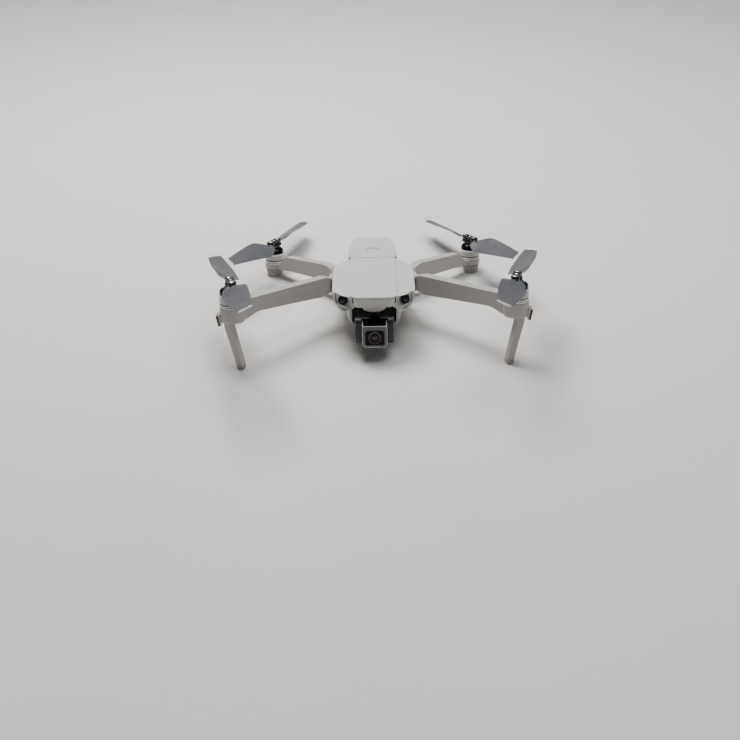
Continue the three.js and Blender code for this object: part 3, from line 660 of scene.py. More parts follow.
# ---------------------------------------------------------------- battery
BATTERY_FRONT = SEAM_Y + 0.4
BATTERY_REAR = 108.0
BATTERY_TOP = 65.2
BATTERY_HALF = 24.6
BUTTON_Y = 62.0
BUTTON_TOP = BATTERY_TOP + 0.55
LATCH = (46.0, 54.0)


def battery_space(inset):
    half = [
        (BATTERY_HALF - inset, BATTERY_FRONT + inset), (BATTERY_HALF - inset, 42), (22.4 - inset, 80),
        (20.4 - inset, 97), (15.2 - inset, BATTERY_REAR - inset),
    ]
    plan = rounded(
        half + [(-x, y) for x, y in reversed(half)], [0.8, 10, 20, 1.6, 1.0, 1.0, 1.6, 20, 10, 0.8]
    )
    side = [
        (BATTERY_FRONT, FLOOR_Z + GAP + inset), (BATTERY_REAR, FLOOR_Z + GAP + inset),
        (BATTERY_REAR, BATTERY_TOP - 1.4 - inset), (BATTERY_REAR - 2, BATTERY_TOP + 2.2 - inset),
        (BATTERY_FRONT, BATTERY_TOP - inset),
    ]
    section = [
        (30, 40), (30, 58), (BATTERY_HALF - 0.4 - inset, 62.4 - inset), (CREASE_X + 0.5 - inset, 69 - inset),
    ]
    section = section + [(-x, z) for x, z in reversed(section)]
    side = rounded(side, [0, 0, 1.2, 1.2, 0])
    section = rounded(section, [0, 0, 3, 0, 0, 3, 0, 0])
    return keep(prism(plan, 40, 80), prism(side, -40, 40, "x"), prism(section, 20, 120, "y"))


def battery_body():
    body = bevel(battery_space(0), 0.8, 3, 38)
    cavity = keep(battery_space(WALL), box(-22, 22, 50, 110, 40, 63))
    cut(body, cavity, box(-14, 14, BATTERY_FRONT - 1, 52, 48, 56))
    cut(body, rod((0, BUTTON_Y, BUTTON_TOP - 4), (0, BUTTON_Y, 80), 6.8, steps=64))
    reach = BATTERY_HALF - 4.9
    for side in (-1, 1):
        well = box(reach - GAP, 40, LATCH[0] - 6.3, LATCH[0] + 6.3, LATCH[1] - 3.8, LATCH[1] + 3.8)
        cut(body, handed(bevel(well, 1.0, 3), side))
    cut(body, both(bevel(box(22.4, 30, 35.8, 39.4, 57.5, 80), 0.5, 2)))
    for x in (-4.8, -1.6, 1.6, 4.8):
        slit = prism(rounded([(x - 0.9, 50), (x + 0.9, 50), (x + 0.9, 51), (x - 0.9, 51)], 0.45, 3), 65.2, 70)
        cut(body, slit)
    for i in range(5):
        z = 51 + i * 2
        cut(
            body,
            prism([(-9, z), (9, z), (9, z + 0.9), (-9, z + 0.9)], BATTERY_REAR - 0.6, BATTERY_REAR + 3, "y"),
        )
    return body


finish_piece(battery_body(), "battery_body", "battery", SHELL, ["battery_case"], sharp=30)
hooks = both(rod((22.5, 37.6, 59.6), (23.7, 37.6, 59.6), 0.9, soft=0.2, steps=28))
finish_piece(hooks, "battery_hooks", "battery", STEEL)
lights = []
for x in (-4.8, -1.6, 1.6, 4.8):
    lights.append(box(x - 0.8, x + 0.8, 50.05, 50.95, 65.0, 65.75))
finish_piece(merged(lights), "battery_level_lights", "battery", LAMP)
button = lathe([(0, 0), (6.5, 0), (6.5, 2.1), (6.2, 2.5), (5.4, 2.62), (0, 2.35)], 64)
button = moved(button, Matrix.Translation((0, BUTTON_Y, BUTTON_TOP - 2.62)))
finish_piece(button, "power_button_cap", "power_button", SHELL, ["power_button"])
for side_name, side in SIDES:
    pad = bevel(box(BATTERY_HALF - 3.4, BATTERY_HALF + 0.6, 40, 52, 50.5, 57.5), 0.7, 3)
    for i in range(5):
        y = 42 + i * 2
        cut(pad, box(BATTERY_HALF + 0.2, BATTERY_HALF + 2, y - 0.45, y + 0.45, 51.6, 56.4))
    finish_piece(
        handed(pad, side), f"latch_pad_{side_name}", f"battery_latch_{side_name}", PAD,
        [f"battery_latch_{side_name}"],
    )

# ---------------------------------------------------------------- arms
FRONT_PIN = Vector((36, 3, 0))
FRONT_HEADING = -0.7115
FRONT_FRAME = Matrix.Translation(FRONT_PIN) @ Matrix.Rotation(FRONT_HEADING, 4, "Z")
FRONT_END = FRONT_FRAME.inverted() @ Vector((FRONT_MOTOR["x"], FRONT_MOTOR["y"], 0))
REAR_SPAN = REAR_REACH.length
REAR_HEADING = math.atan2(REAR_REACH.y, REAR_REACH.x)
REAR_FRAME = Matrix.Translation((REAR_PIN.x, REAR_PIN.y, 0)) @ Matrix.Rotation(REAR_HEADING, 4, "Z")
GROUND_SLOPE = math.tan(STANCE)


def above_ground():
    ground = [(-160, GROUND_SLOPE * (-160 + 92)), (160, GROUND_SLOPE * (160 + 92)), (160, 200), (-160, 200)]
    return prism(ground, -220, 220, "x")


def front_arm():
    mx, my = FRONT_END.x, FRONT_END.y
    top = FRONT_MOTOR["top"]
    plan = [(8, -4), (16, -13.6), (mx - 4, my - 3), (mx, my + 9), (mx - 12, -3.6)]
    side = [
        (7, 48), (14, 48), (27, 43.8), (60, 45.5), (mx - 26, 47.6), (mx - 13, 43), (mx, 43),
        (mx, top), (mx - 12, top), (mx - 18, 61.4), (22, 62), (10, 57.8), (7, 57.8),
    ]
    plan = rounded(plan, [2, 5, 1, 1, 12])
    side = rounded(side, [0, 8, 14, 60, 22, 12, 0, 0, 5, 5, 14, 6, 0])
    beam = bevel(keep(prism(plan, 30, 80), prism(side, -30, 20, "y")), 1.0, 2, 38)
    base = lathe(
        [
            (0, 43), (8.6, 43), (10.2, 43.5), (11.0, 44.8),
            (11.3, 47), (11.5, top - 0.5), (11.1, top), (0, top),
        ],
        72
    )
    add(beam, moved(base, Matrix.Translation((mx, my, 0))))
    knuckle = rod((0, 0, FLOOR_Z + 0.6), (0, 0, 58), 6, soft=0.6, steps=56)
    link = rounded([(0, 5.8), (14, -3.8), (16.5, -13.4), (4, -9), (-3, -5)], [3, 4, 2, 2, 3])
    link = bevel(prism(link, 48.6, 57.8), 0.7, 3)
    add(beam, knuckle, link)
    cut(beam, rod((0, 0, 30), (0, 0, 70), 2.12))
    seam = [(19.0, -25), (20.1, -25), (24.6, 8), (23.5, 8)]
    cut(beam, prism(seam, 60.9, 66))
    return moved(beam, FRONT_FRAME)


def front_leg():
    x, y = FRONT_MOTOR["x"], FRONT_MOTOR["y"]
    shape = [(-1, 0), (-0.45, -1), (0.75, -0.7), (1, 0.1), (0.3, 1), (-0.7, 0.7)]
    stations = [
        (-5.6, -4, 4.2, 5.4), (-4.6, 4, 4.6, 6), (-0.9, 21, 4.9, 6.5), (3, 38, 5.2, 7),
        (3.3, 44, 5.2, 7),
    ]
    rings = []
    for offset, z, half, depth in stations:
        ring = rounded([(a * half, b * depth) for a, b in shape], 1.3, 4)
        rings.append([(x + offset + a, y - 1 + b, z) for a, b in ring])
    return keep(loft(rings), above_ground())


def rear_arm():
    top = REAR_MOTOR["top"]
    span = REAR_SPAN
    plan = rounded([(0.5, -4.8), (span - 4, -5.2), (span - 4, 5.2), (0.5, 4.8)], [2, 0, 0, 2])
    side = [
        (0.5, 30.2), (9, 30.2), (22, 42.2), (60, 42.8), (span - 12, 42.2), (span, 41), (span, top),
        (span - 12, top), (span - 20, 56.6), (13, 58), (5, 56), (0.5, 50),
    ]
    side = rounded(side, [3, 5, 10, 20, 20, 0, 0, 5, 6, 12, 5, 4])
    beam = bevel(keep(prism(plan, 20, 70), prism(side, -20, 20, "y")), 1.0, 2, 38)
    base = lathe([(0, 41), (8.2, 41), (9.6, 41.8), (9.9, 43.5), (10.3, top - 0.5), (9.9, top), (0, top)], 72)
    add(beam, moved(base, Matrix.Translation((span, 0, 0))))
    moved(beam, REAR_FRAME)
    add(beam, rod(along_rear_pin(-4), along_rear_pin(6), 6, soft=0.6, steps=56))
    return cut(beam, rod(along_rear_pin(-20), along_rear_pin(4.6), 2.12))


def rear_foot():
    x, y = REAR_MOTOR["x"], REAR_MOTOR["y"]
    foot = rod((x + 0.5, y, 41 - GAP), (x + 2.4, 89, 28), 9, 4.6, steps=56)
    keep(foot, above_ground(), box(0, 200, 0, 200, 20, 41 - GAP))
    return bevel(foot, 0.8, 3, 40)


for side_name, side in SIDES:
    front, rear = f"front_arm_{side_name}", f"rear_arm_{side_name}"
    finish_piece(handed(front_arm(), side), f"arm_front_{side_name}", front, ARM, [front], sharp=30)
    finish_piece(handed(rear_arm(), side), f"arm_rear_{side_name}", rear, ARM, [rear], sharp=30)
    leg = front_leg()
    tip = keep(copied(leg), box(0, 200, -200, 0, -20, 3.0))
    cut(leg, box(0, 200, -200, 0, -20, 3.15))
    finish_piece(handed(leg, side), f"leg_{side_name}", front, ARM, [f"front_leg_{side_name}"])
    finish_piece(handed(bevel(tip, 0.5, 2, 40), side), f"leg_tip_{side_name}", front, FOOT)
    finish_piece(
        handed(rear_foot(), side), f"foot_{side_name}", rear, FOOT, [f"rear_foot_{side_name}"],
    )

    x, y = FRONT_MOTOR["x"], FRONT_MOTOR["y"]
    mount = [
        (x + 10.4, 51), (x + 13.9, 50.9), (x + 14.9, 49.6), (x + 12.9, 49.4), (x + 11.4, 40.2),
        (x + 10.4, 40),
    ]
    mount = bevel(prism(mount, y - 4.8, y + 4.8, "y"), 0.4, 2, 20)
    finish_piece(handed(mount, side), f"light_mount_{side_name}", front, ARM)
    window = [(x + 13.0, 49.3), (x + 14.9, 49.2), (x + 12.9, 39.6), (x + 11.5, 40.2)]
    window = bevel(prism(window, y - 5.1, y + 5.1, "y"), 0.3, 2, 20)
    for i in range(5):
        rib_z = 41.6 + i * 1.6
        cut(window, box(x + 10, x + 16, y - 6, y - 4.9, rib_z, rib_z + 0.5))
    finish_piece(
        handed(window, side), f"light_{side_name}", front, RED, [f"front_light_{side_name}"],
    )

    seat = Vector((x, y, 43.1))
    screws = [
        screw(seat + Vector((7 * math.cos(a), 7 * math.sin(a), 0)), (0, 0, -1), 1.2, 0.5)
        for a in (0.6, 2.7, 4.8)
    ]
    finish_piece(handed(merged(screws), side), f"arm_front_screws_{side_name}", front, STEEL)

# ---------------------------------------------------------------- motors and propellers
BELL_BOTTOM = 1.8
DOME = 6.0
PIN_OFFSET = 7.5


def bell_top(motor):
    return BELL_BOTTOM + motor["bell"]


def stator(motor):
    """The mounting ring and the wound core inside the bell."""
    radius = motor["radius"]
    top = bell_top(motor) - 2.6
    ring = lathe(
        [
            (1.9, 0.3), (radius + 0.1, 0.3), (radius + 0.3, 0.45), (radius + 0.3, 1.0), (radius + 0.1, 1.15),
            (radius - 1.1, 1.15), (radius - 1.1, 1.3), (7, 1.3), (7, 2), (1.9, 2),
        ],
        72,
    )
    core = []
    for i in range(12):
        tooth = bevel(box(2.2, 6.9, -1.1, 1.1, 2.0, top), 0.5, 2)
        core.append(moved(tooth, Matrix.Rotation(i * math.pi / 6, 4, "Z")))
    return ring, merged(core)


def bell(motor):
    radius, top = motor["radius"], bell_top(motor)
    return lathe(
        [
            (radius - 1.6, BELL_BOTTOM + 1.45), (radius - 1.0, BELL_BOTTOM + 1.45),
            (radius - 1.0, BELL_BOTTOM + 2.4), (radius - 0.2, BELL_BOTTOM + 2.4),
            (radius, BELL_BOTTOM + 2.6),
            (radius, top - 1.2), (radius - 1.6, top - 1.2),
        ],
        80,
    )


def bell_lip(motor):
    """The ring under the bell's groove, bright white as a painted highlight."""
    radius = motor["radius"]
    low, high = BELL_BOTTOM + 0.3, BELL_BOTTOM + 1.4
    return lathe(
        [
            (radius - 1.6, low), (radius - 0.2, low), (radius + 0.05, low + 0.2), (radius + 0.05, high - 0.2),
            (radius - 0.2, high), (radius - 1.6, high),
        ],
        80,
    )


def bell_band(motor):
    """The dark line at the bottom of the bell's groove."""
    radius = motor["radius"]
    low, high = BELL_BOTTOM + 1.45, BELL_BOTTOM + 2.35
    return lathe([(radius - 0.98, low), (radius - 0.6, low), (radius - 0.6, high), (radius - 0.98, high)], 80)


# The chamfered ring on top of the bell; it is bright white as a painted highlight.
def bell_rim(motor):
    radius, top = motor["radius"], bell_top(motor)
    return lathe(
        [
            (radius - 1.6, top - 1.15), (radius, top - 1.15), (radius + 0.05, top - 0.3),
            (radius - 0.3, top + 0.3),
            (radius - 1.6, top + 0.25),
        ],
        80,
    )


def dome(motor):
    radius, top = motor["radius"], bell_top(motor)
    cap = lathe(
        [
            (0, 0.9), (1.5, 0.9), (1.5, top - 1.8), (radius - 1.7, top - 1.8), (radius - 1.7, top + 0.3),
            (radius - 0.8, top + 0.45), (radius - 0.6, top + 0.9), (radius - 0.6, top + 2.8),
            (radius - 0.8, top + 4.2), (radius - 1.8, top + 5.3), (7.2, top + DOME - 0.15), (6.4, top + DOME),
            (0, top + DOME),
        ],
        80,
    )
    for i in range(6):
        slot = box(radius - 2.0, radius + 2, -1.6, 1.6, top + 1.3, top + 3.4)
        slot = bevel(slot, 0.6, 3)
        cut(cap, moved(slot, Matrix.Rotation(i * math.pi / 3 + 0.3, 4, "Z")))
    return cap


def hub():
    def plate(z0, z1, radius, waist):
        outline = []
        for sign in (1, -1):
            for k in range(13):
                angle = math.pi * (k / 12 - 0.5)
                outline.append(
                    (sign * (PIN_OFFSET + radius * math.cos(angle)), sign * radius * math.sin(angle)),
                )
            outline.append((0, sign * waist))
        return bevel(prism(outline, z0, z1), 0.35, 2, 40)

    body = add(plate(1, 2.7, 4.4, 4.9), lathe([(0, GAP), (5.4, GAP), (6.2, 0.9), (6.2, 1.5), (0, 1.5)], 56))
    add(body, rod((0, 0, 0.5), (0, 0, 7.3), 3.0))
    add(body, plate(6.2, 7.4, 4.2, 3.6))
    return body


BLADE_TIP = 90.5
BLADE_CONING = 2.4
TIP_CHORD = 13.0
TIP_PITCH = 8.5
TIP_RAKE = 10.0
PAINT_WIDTH = 5.0
# Distance from the motor axis, chord, pitch in degrees, and how far the trailing edge runs ahead of the
# leading edge.
BLADE_STATIONS = (
    (11.2, 8, 4, 0), (13.5, 15, 12, 0), (17, 19, 19, 0), (24, 23.5, 26, 0), (32, 25, 26, 0), (48, 23, 21, 0),
    (66, 19, 16.5, 2), (80, 15.5, 12, 6), (BLADE_TIP, TIP_CHORD, TIP_PITCH, TIP_RAKE),
)


def blade_values(distance):
    """Chord, pitch and rake at a distance from the motor axis, on a smooth curve through the stations."""
    last = len(BLADE_STATIONS) - 1
    i = max(n for n in range(last) if BLADE_STATIONS[n][0] <= distance + 1e-9)
    start, end = BLADE_STATIONS[i], BLADE_STATIONS[i + 1]
    before, after = BLADE_STATIONS[max(i - 1, 0)], BLADE_STATIONS[min(i + 2, last)]
    span = end[0] - start[0]
    t = (distance - start[0]) / span
    out = []
    for k in (1, 2, 3):
        leave = (end[k] - before[k]) / (end[0] - before[0]) * span
        arrive = (after[k] - start[k]) / (after[0] - start[0]) * span
        out.append(
            start[k] * (2 * t**3 - 3 * t**2 + 1) + leave * (t**3 - 2 * t**2 + t)
            + end[k] * (3 * t**2 - 2 * t**3) + arrive * (t**3 - t**2)
        )
    return out


def blade_rings(sense):
    upper = [(-0.56, 0.0), (-0.47, 0.35), (-0.3, 0.58), (-0.05, 0.62), (0.2, 0.5), (0.37, 0.24), (0.44, 0.0)]
    lower = [(0.37, -0.2), (0.2, -0.36), (-0.05, -0.4), (-0.3, -0.32), (-0.47, -0.2)]
    root = BLADE_STATIONS[0][0]
    count = 50
    rings = []
    for k in range(count + 1):
        r = root + (BLADE_TIP - root) * k / count
        chord, pitch, rake = blade_values(r)
        tilt = math.radians(pitch) * sense
        thick = 1.5 - 0.7 * r / BLADE_TIP
        near_tip = max(0.0, (r - BLADE_TIP + 4) / 4)
        rise = BLADE_CONING * r / BLADE_TIP + near_tip**2 * 1.3
        ring = []
        for c, h in upper + lower:
            across = c * chord * sense
            up = h * thick
            corner = abs((c + 0.06) * 2) ** 6
            ring.append(
                (
                    r - PIN_OFFSET - rake * c - corner * near_tip * 1.3,
                    across * math.cos(tilt) - up * math.sin(tilt),
                    4.4 + rise + across * math.sin(tilt) + up * math.cos(tilt),
                )
            )
        rings.append(ring)
    return rings


def blade(sense):
    rings = blade_rings(sense)
    wing = loft(rings)
    eye = rod((0, 0, 3), (0, 0, 5.8), 3.8, soft=0.4, steps=48)
    neck = prism(
        rounded([(0, -3.3), (6, -3.3), (8.5, -2.2), (8.5, 2.2), (6, 3.3), (0, 3.3)], 1.2, 4), 3.4, 5.4,
    )
    add(wing, eye, bevel(neck, 0.4, 2))
    cut(wing, rod((0, 0, 0), (0, 0, 40), 1.6))
    return wing


def tip_faces(obj, matrix, sense):
    """The faces between the paint line and the tip, which run parallel across the blade."""
    inverse = matrix.inverted()
    out = []
    for face in obj.data.polygons:
        spot = inverse @ face.center
        across = spot.y * sense / (TIP_CHORD * math.cos(math.radians(TIP_PITCH)))
        if spot.x + PIN_OFFSET + TIP_RAKE * across > BLADE_TIP - PAINT_WIDTH:
            out.append(face.index)
    return out


for corner, (motor, side, sense) in CORNERS.items():
    x, y, seat = side * motor["x"], motor["y"], motor["top"]
    arm_body, rotor = f"{corner.split('_')[0]}_arm_{corner.split('_')[1]}", f"rotor_{corner}"
    place = Matrix.Translation((x, y, seat))
    ring, core = stator(motor)
    # The motor ring, the bell lip and the bell rim are bright white: painted highlights where their metal
    # edges catch the light.
    finish_piece(
        moved(ring, place), f"motor_ring_{corner}", arm_body, TIP_PAINT_AND_HIGHLIGHT, [f"motor_stator_{corner}"],
    )
    finish_piece(moved(core, place), f"motor_core_{corner}", arm_body, COPPER)
    finish_piece(
        moved(bell(motor), place), f"bell_wall_{corner}", rotor, BELL, [f"motor_bell_{corner}"],
    )
    finish_piece(moved(bell_lip(motor), place), f"bell_lip_{corner}", rotor, TIP_PAINT_AND_HIGHLIGHT)
    finish_piece(moved(bell_band(motor), place), f"bell_band_{corner}", rotor, GLOSS)
    finish_piece(moved(bell_rim(motor), place), f"bell_rim_{corner}", rotor, TIP_PAINT_AND_HIGHLIGHT)
    finish_piece(moved(dome(motor), place), f"motor_dome_{corner}", rotor, GLOSS)

    headings = [math.radians(h) for h in BLADE_HEADINGS[corner]]
    hub_turn = (headings[0] + headings[1] - math.pi) / 2
    hub_z = seat + bell_top(motor) + DOME
    hub_place = Matrix.Translation((x, y, hub_z)) @ Matrix.Rotation(hub_turn, 4, "Z")
    finish_piece(moved(hub(), hub_place), f"hub_{corner}", rotor, BLACK_AND_SHADE, [f"propeller_hub_{corner}"])
    heads = []
    for sign in (-1, 1):
        heads.append(screw((sign * PIN_OFFSET, 0, 7.35), (0, 0, 1), 2.6, 0.9))
        heads.append(rod((sign * PIN_OFFSET, 0, 1.3), (sign * PIN_OFFSET, 0, 7.2), 1.45))
    heads.append(screw((0, 0, 7.35), (0, 0, 1), 1.5, 0.6))
    finish_piece(moved(merged(heads), hub_place), f"hub_screws_{corner}", rotor, SILVER)
    for i, heading in enumerate(headings):
        label = f"{corner}_{'ab'[i]}"
        pin = hub_turn + i * math.pi
        root = Vector((x + PIN_OFFSET * math.cos(pin), y + PIN_OFFSET * math.sin(pin), hub_z))
        matrix = Matrix.Translation(root) @ Matrix.Rotation(heading, 4, "Z")
        shape = moved(blade(sense), matrix)
        silver = tip_faces(shape, matrix, sense)
        finish_piece(
            shape, f"propeller_{label}", f"blade_{label}", [BLADE, TIP_PAINT_AND_HIGHLIGHT], [f"blade_{label}"],
            painted=silver
        )

# ---------------------------------------------------------------- gimbal and camera
YAW_Y = -66.0
ROLL_Z = 27.0
PITCH = Vector((0, -79.5, 25.5))
mount = lathe(
    [(0, 43.7), (7.6, 43.7), (9.6, 44.0), (10.4, 44.6), (10.6, 45.8), (10.6, 49.5), (0, 49.5)], 72
)
finish_piece(
    moved(mount, Matrix.Translation((0, YAW_Y, 0))), "gimbal_collar", "airframe", SHELL, [
        "gimbal_mount",
    ]
)
yaw = rod((0, YAW_Y, 42.5), (0, YAW_Y, 43.4), 7, soft=0.2, steps=56)
add(
    yaw, bevel(box(-4.5, 4.5, YAW_Y, -51, 42.5, 43.4), 0.2, 2),
    bevel(box(-4.5, 4.5, -55.4, -51, 22, 43.4), 0.9, 3),
)
finish_piece(yaw, "yaw_bracket", "gimbal_yaw_frame", ANODISED, ["gimbal_yaw_arm"])
roll = lathe(
    [
        (0, 0), (6.6, 0), (7.4, 0.6), (7.4, 1.6), (7.1, 1.8),
        (7.1, 2.2), (7.4, 2.4), (7.4, 4.2), (6.8, 4.7), (0, 4.7),
    ],
    64
)
roll = moved(roll, along((0, -60.4, ROLL_Z), (0, -55.7, ROLL_Z)))
finish_piece(roll, "roll_motor", "gimbal_yaw_frame", BLACK_AND_SHADE, ["gimbal_roll_motor"])

CHEEK_IN, CHEEK_OUT = 11.8, 17.2


def yoke():
    side = [(-88, 17), (-72, 17), (-72, 33.5), (-78, 33.5), (-78, 41.4), (-88, 41.4)]
    side = rounded(side, [6, 4, 1.5, 2, 3.5, 5])
    cheek = bevel(prism(side, CHEEK_IN, CHEEK_OUT, "x"), 0.6, 3)
    link = bevel(box(CHEEK_OUT - 2.4, CHEEK_OUT, -73, -60.8, 21, 33), 0.5, 2)
    back = bevel(box(-CHEEK_OUT, CHEEK_OUT, -63.2, -60.7, 21, 33), 0.5, 2)
    left, right = mirrored(copied(cheek)), cheek
    left_link, right_link = mirrored(copied(link)), link
    body = add(right, right_link, back, left_link, left)
    cut(body, rod((-CHEEK_OUT - 1, PITCH.y, PITCH.z), (-CHEEK_IN - 1.6, PITCH.y, PITCH.z), 7.1, steps=64))
    cut(body, rod((CHEEK_OUT - 0.4, PITCH.y, PITCH.z), (CHEEK_OUT + 1, PITCH.y, PITCH.z), 5.2, steps=56))
    return body


finish_piece(yoke(), "gimbal_fork", "gimbal_roll_frame", BLACK_AND_SHADE, ["gimbal_yoke"])
motor_cap = lathe(
    [
        (0, 0), (6.8, 0), (6.8, 2.6), (6.5, 2.8), (6.5, 3.1),
        (6.8, 3.3), (6.2, 3.9), (2.4, 3.9), (2.2, 3.6), (0, 3.6),
    ],
    64
)
motor_cap = moved(motor_cap, along((-CHEEK_IN - 1.9, PITCH.y, PITCH.z), (-CHEEK_OUT, PITCH.y, PITCH.z)))
finish_piece(motor_cap, "pitch_motor", "gimbal_roll_frame", ANODISED, ["gimbal_pitch_motor"])
fork_screws = [
    screw((CHEEK_OUT - 0.05, y, z), (1, 0, 0), 0.9, 0.35)
    for y, z in ((-85.5, 38.5), (-80.5, 38.5), (-62.5, 31))
]
fork_screws.append(screw((CHEEK_OUT - 0.45, PITCH.y, PITCH.z), (1, 0, 0), 2.2, 0.5))
finish_piece(merged(fork_screws), "fork_screws", "gimbal_roll_frame", STEEL)

CAMERA_HALF, CAMERA_FRONT, CAMERA_REAR, CAMERA_LOW, CAMERA_TOP = 11.3, -92.0, -67.5, 15.5, 35.5
LENS_Z = 24.2
BEZEL_BACK = CAMERA_FRONT + 1.6
FRONT_HIGHLIGHT_Y = (CAMERA_FRONT + 0.12, CAMERA_FRONT + 0.5)


def panel_outline(half, low, high, low_cut, high_cut, radius):
    right = [(half - low_cut, low), (half, low + low_cut), (half, high - high_cut), (half - high_cut, high)]
    return rounded(right + [(-x, z) for x, z in reversed(right)], radius, 4)


def camera_housing():
    body = prism(
        panel_outline(CAMERA_HALF, CAMERA_LOW, CAMERA_TOP, 2.6, 1.5, 1.0), BEZEL_BACK + GAP,
        CAMERA_REAR, "y",
    )
    side = [
        (CAMERA_FRONT, CAMERA_LOW), (CAMERA_REAR, CAMERA_LOW), (CAMERA_REAR, CAMERA_TOP - 3.5),
        (CAMERA_REAR - 3.5, CAMERA_TOP), (CAMERA_FRONT, CAMERA_TOP),
    ]
    keep(body, prism(rounded(side, [0, 3, 2, 2, 0]), -20, 20, "x"))
    bevel(body, 0.5, 3, 40)
    cut(body, bevel(box(-8.6, 8.6, -88, -72.5, CAMERA_TOP - 0.7, CAMERA_TOP + 4), 0.4, 2))
    for i in range(6):
        y = -86 + i * 2.2
        cut(body, box(-7, 7, y, y + 0.9, CAMERA_TOP - 1.5, CAMERA_TOP))
    return cut(body, rod((0, BEZEL_BACK - 1, LENS_Z), (0, BEZEL_BACK + 9, LENS_Z), 6.6, steps=56))


finish_piece(camera_housing(), "camera_body", "camera", GLOSS, ["camera_housing"])
bezel = bevel(
    prism(
        panel_outline(CAMERA_HALF - 0.1, CAMERA_LOW, CAMERA_TOP, 2.6, 1.5, 1.0),
        CAMERA_FRONT, BEZEL_BACK, "y",
    ),
    0.45, 3
)
opening = loft(
    [
        [(x, CAMERA_FRONT - 0.5, z) for x, z in panel_outline(9.6, 16.4, 32.2, 2.4, 2.2, 1.2)],
        [(x, CAMERA_FRONT + 0.6, z) for x, z in panel_outline(8.5, 17.2, 31.2, 2, 2, 1.2)],
        [(x, BEZEL_BACK + 1, z) for x, z in panel_outline(8.5, 17.2, 31.2, 2, 2, 1.2)],
    ]
)
finish_piece(cut(bezel, opening), "camera_frame", "camera", ANODISED, ["camera_bezel"])
# A thin bright frame round the camera's face: painted highlight along the outer bevel of the dark metal
# frame.
front_highlight = prism(
    panel_outline(CAMERA_HALF + 0.02, CAMERA_LOW - 0.02, CAMERA_TOP + 0.02, 2.6, 1.5, 1.0), *FRONT_HIGHLIGHT_Y, "y",
)
cut(
    front_highlight,
    prism(
        panel_outline(CAMERA_HALF - 0.4, CAMERA_LOW + 0.4, CAMERA_TOP - 0.4, 2.5, 1.4, 1.0),
        -100, -80, "y",
    ),
)
finish_piece(front_highlight, "camera_front_highlight", "camera", TIP_PAINT_AND_HIGHLIGHT)
# Thin bright strips along the top side edges of the camera: painted highlights where the rounded metal edges
# catch the light.
edge = [
    (-90.2, 34.4), (-90.2, 35.8), (-76, 36.0), (-72.4, 34.8), (-69.6, 31.4), (-70.2, 31.0), (-73, 33.9),
    (-76.4, 34.9),
]
edge = prism(rounded(edge, [0.2, 0.3, 5, 4, 0.2, 0.2, 4, 5], 5), CAMERA_HALF - 0.75, CAMERA_HALF - 0.05, "x")
finish_piece(both(bevel(edge, 0.12, 2)), "camera_side_highlights", "camera", TIP_PAINT_AND_HIGHLIGHT)
glass = prism(panel_outline(8.3, 17.4, 31, 2, 2, 1.2), CAMERA_FRONT + 0.9, BEZEL_BACK, "y")
cut(glass, rod((0, CAMERA_FRONT, LENS_Z), (0, BEZEL_BACK + 1, LENS_Z), 5.9, steps=64))
finish_piece(bevel(glass, 0.15, 2), "camera_face", "camera", GLOSS, ["camera_glass"])
barrel = lathe(
    [
        (0, 0), (6.2, 0), (6.2, 8.4), (5.8, 9.2), (5.4, 9.2), (5.1, 8.2), (4.7, 8.2), (4.5, 7.4), (4.0, 7.4),
        (3.7, 6.4), (0, 6.4),
    ],
    72,
)
barrel = moved(barrel, along((0, BEZEL_BACK + 8.7, LENS_Z), (0, CAMERA_FRONT - 5, LENS_Z)))
finish_piece(barrel, "lens_barrel", "camera", BLACK_AND_SHADE, ["camera_lens"])
front_glass = lathe([(0, 6.5), (3.9, 6.5), (3.9, 6.9), (2.8, 7.7), (1.4, 8.15), (0, 8.3)], 64)
front_glass = moved(front_glass, along((0, BEZEL_BACK + 8.7, LENS_Z), (0, CAMERA_FRONT - 5, LENS_Z)))
finish_piece(front_glass, "lens_glass", "camera", LENS)
rings = []
for radius, height in ((5.6, 9.1), (4.3, 7.3)):
    inner, outer = radius - 0.1, radius + 0.08
    ring = lathe([(inner, height), (outer, height), (outer, height + 0.16), (inner, height + 0.16)], 64)
    rings.append(moved(ring, along((0, BEZEL_BACK + 8.7, LENS_Z), (0, CAMERA_FRONT - 5, LENS_Z))))
finish_piece(merged(rings), "lens_rings", "camera", STEEL)

# ---------------------------------------------------------------- CAD nodes that show as they are
CARRIED = {
    "main_board": (BOARD, "board"),
    "heat_sink": (ALUMINIUM, "metal"),
    "fan_rotor": (BLACK_AND_SHADE, "dark"),
    "battery_cells": (CELLS, "cells"),
    "front_hinge_pin_left": (STEEL, "metal"),
    "front_hinge_pin_right": (STEEL, "metal"),
    "rear_hinge_pin_left": (STEEL, "metal"),
    "rear_hinge_pin_right": (STEEL, "metal"),
}
for node, (material, slot) in CARRIED.items():
    shown = frame["nodes"][node]
    shown.data.materials.clear()
    shown.data.materials.append(material)

# ---------------------------------------------------------------- floor, light and camera
floor_mesh = bpy.data.meshes.new("floor")
floor_mesh.from_pydata([(-6, -6, 0), (6, -6, 0), (6, 6, 0), (-6, 6, 0)], [], [(0, 1, 2, 3)])
floor = bpy.data.objects.new("floor", floor_mesh)
bpy.context.scene.collection.objects.link(floor)
floor_mesh.materials.append(
    surface("pale_floor", "dcdad6", rough=0.75, tint=0.01, grain=90, smudge=3, grain_depth=0.0001),
)
floor.location.z = -0.0002

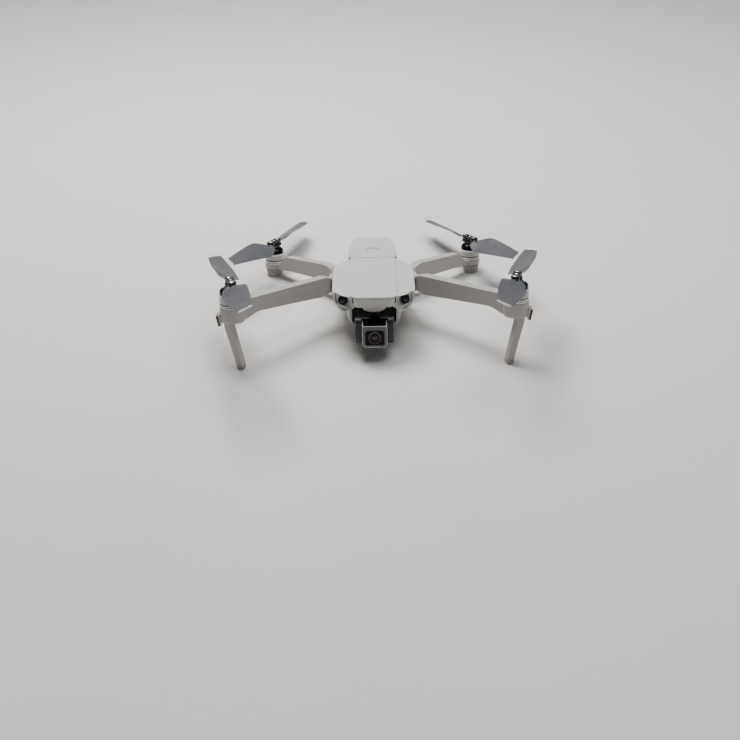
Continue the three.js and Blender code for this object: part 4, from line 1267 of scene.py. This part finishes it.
world = bpy.data.worlds.new("studio")
bpy.context.scene.world = world
world.use_nodes = True
world.node_tree.nodes["Background"].inputs["Color"].default_value = (0.93, 0.95, 1.0, 1)
world.node_tree.nodes["Background"].inputs["Strength"].default_value = 0.16


def softbox(name, place, target, size, power, colour):
    data = bpy.data.lights.new(name, "AREA")
    data.shape = "RECTANGLE"
    data.size, data.size_y = size
    data.energy = power
    data.color = colour
    light = bpy.data.objects.new(name, data)
    bpy.context.scene.collection.objects.link(light)
    light.location = place
    light.rotation_euler = (Vector(target) - Vector(place)).to_track_quat("-Z", "Y").to_euler()


softbox("key", (-0.35, 0.7, 1.35), (0, 0, 0.05), (0.8, 0.7), 32, (1.0, 0.99, 0.97))
softbox("top", (0.35, 0.2, 1.5), (0, 0, 0.05), (0.9, 0.9), 13, (1.0, 1.0, 1.0))
softbox("front_fill", (0.3, -1.6, 0.25), (0, 0, 0.05), (1.2, 0.4), 0.8, (1.0, 0.88, 0.8))

ELEVATION = math.radians(20.6)
ROLL = math.radians(-1.2)
FOCAL_PIXELS = 1179
FRAME_PIXELS = 740
SENSOR_MM = 36.0
VIEW_DISTANCE = 1171
VIEW_TARGET = Vector((-4.9, 0, -40.6))
forward = Vector((0, math.cos(ELEVATION), -math.sin(ELEVATION)))
level_up = Vector((0, math.sin(ELEVATION), math.cos(ELEVATION)))
right = Vector((1, 0, 0)) * math.cos(ROLL) + level_up * math.sin(ROLL)
top = level_up * math.cos(ROLL) - Vector((1, 0, 0)) * math.sin(ROLL)
seen_from = VIEW_TARGET - forward * VIEW_DISTANCE
turn = Matrix((right, top, -forward)).transposed().to_4x4()
camera_data = bpy.data.cameras.new("camera")
camera_data.sensor_width = SENSOR_MM
camera_data.lens = FOCAL_PIXELS * SENSOR_MM / FRAME_PIXELS
camera_data.clip_end = 50
camera = bpy.data.objects.new("camera", camera_data)
bpy.context.scene.collection.objects.link(camera)
camera.matrix_world = Matrix.Translation(AIRCRAFT @ seen_from) @ TURN @ turn
bpy.context.scene.camera = camera
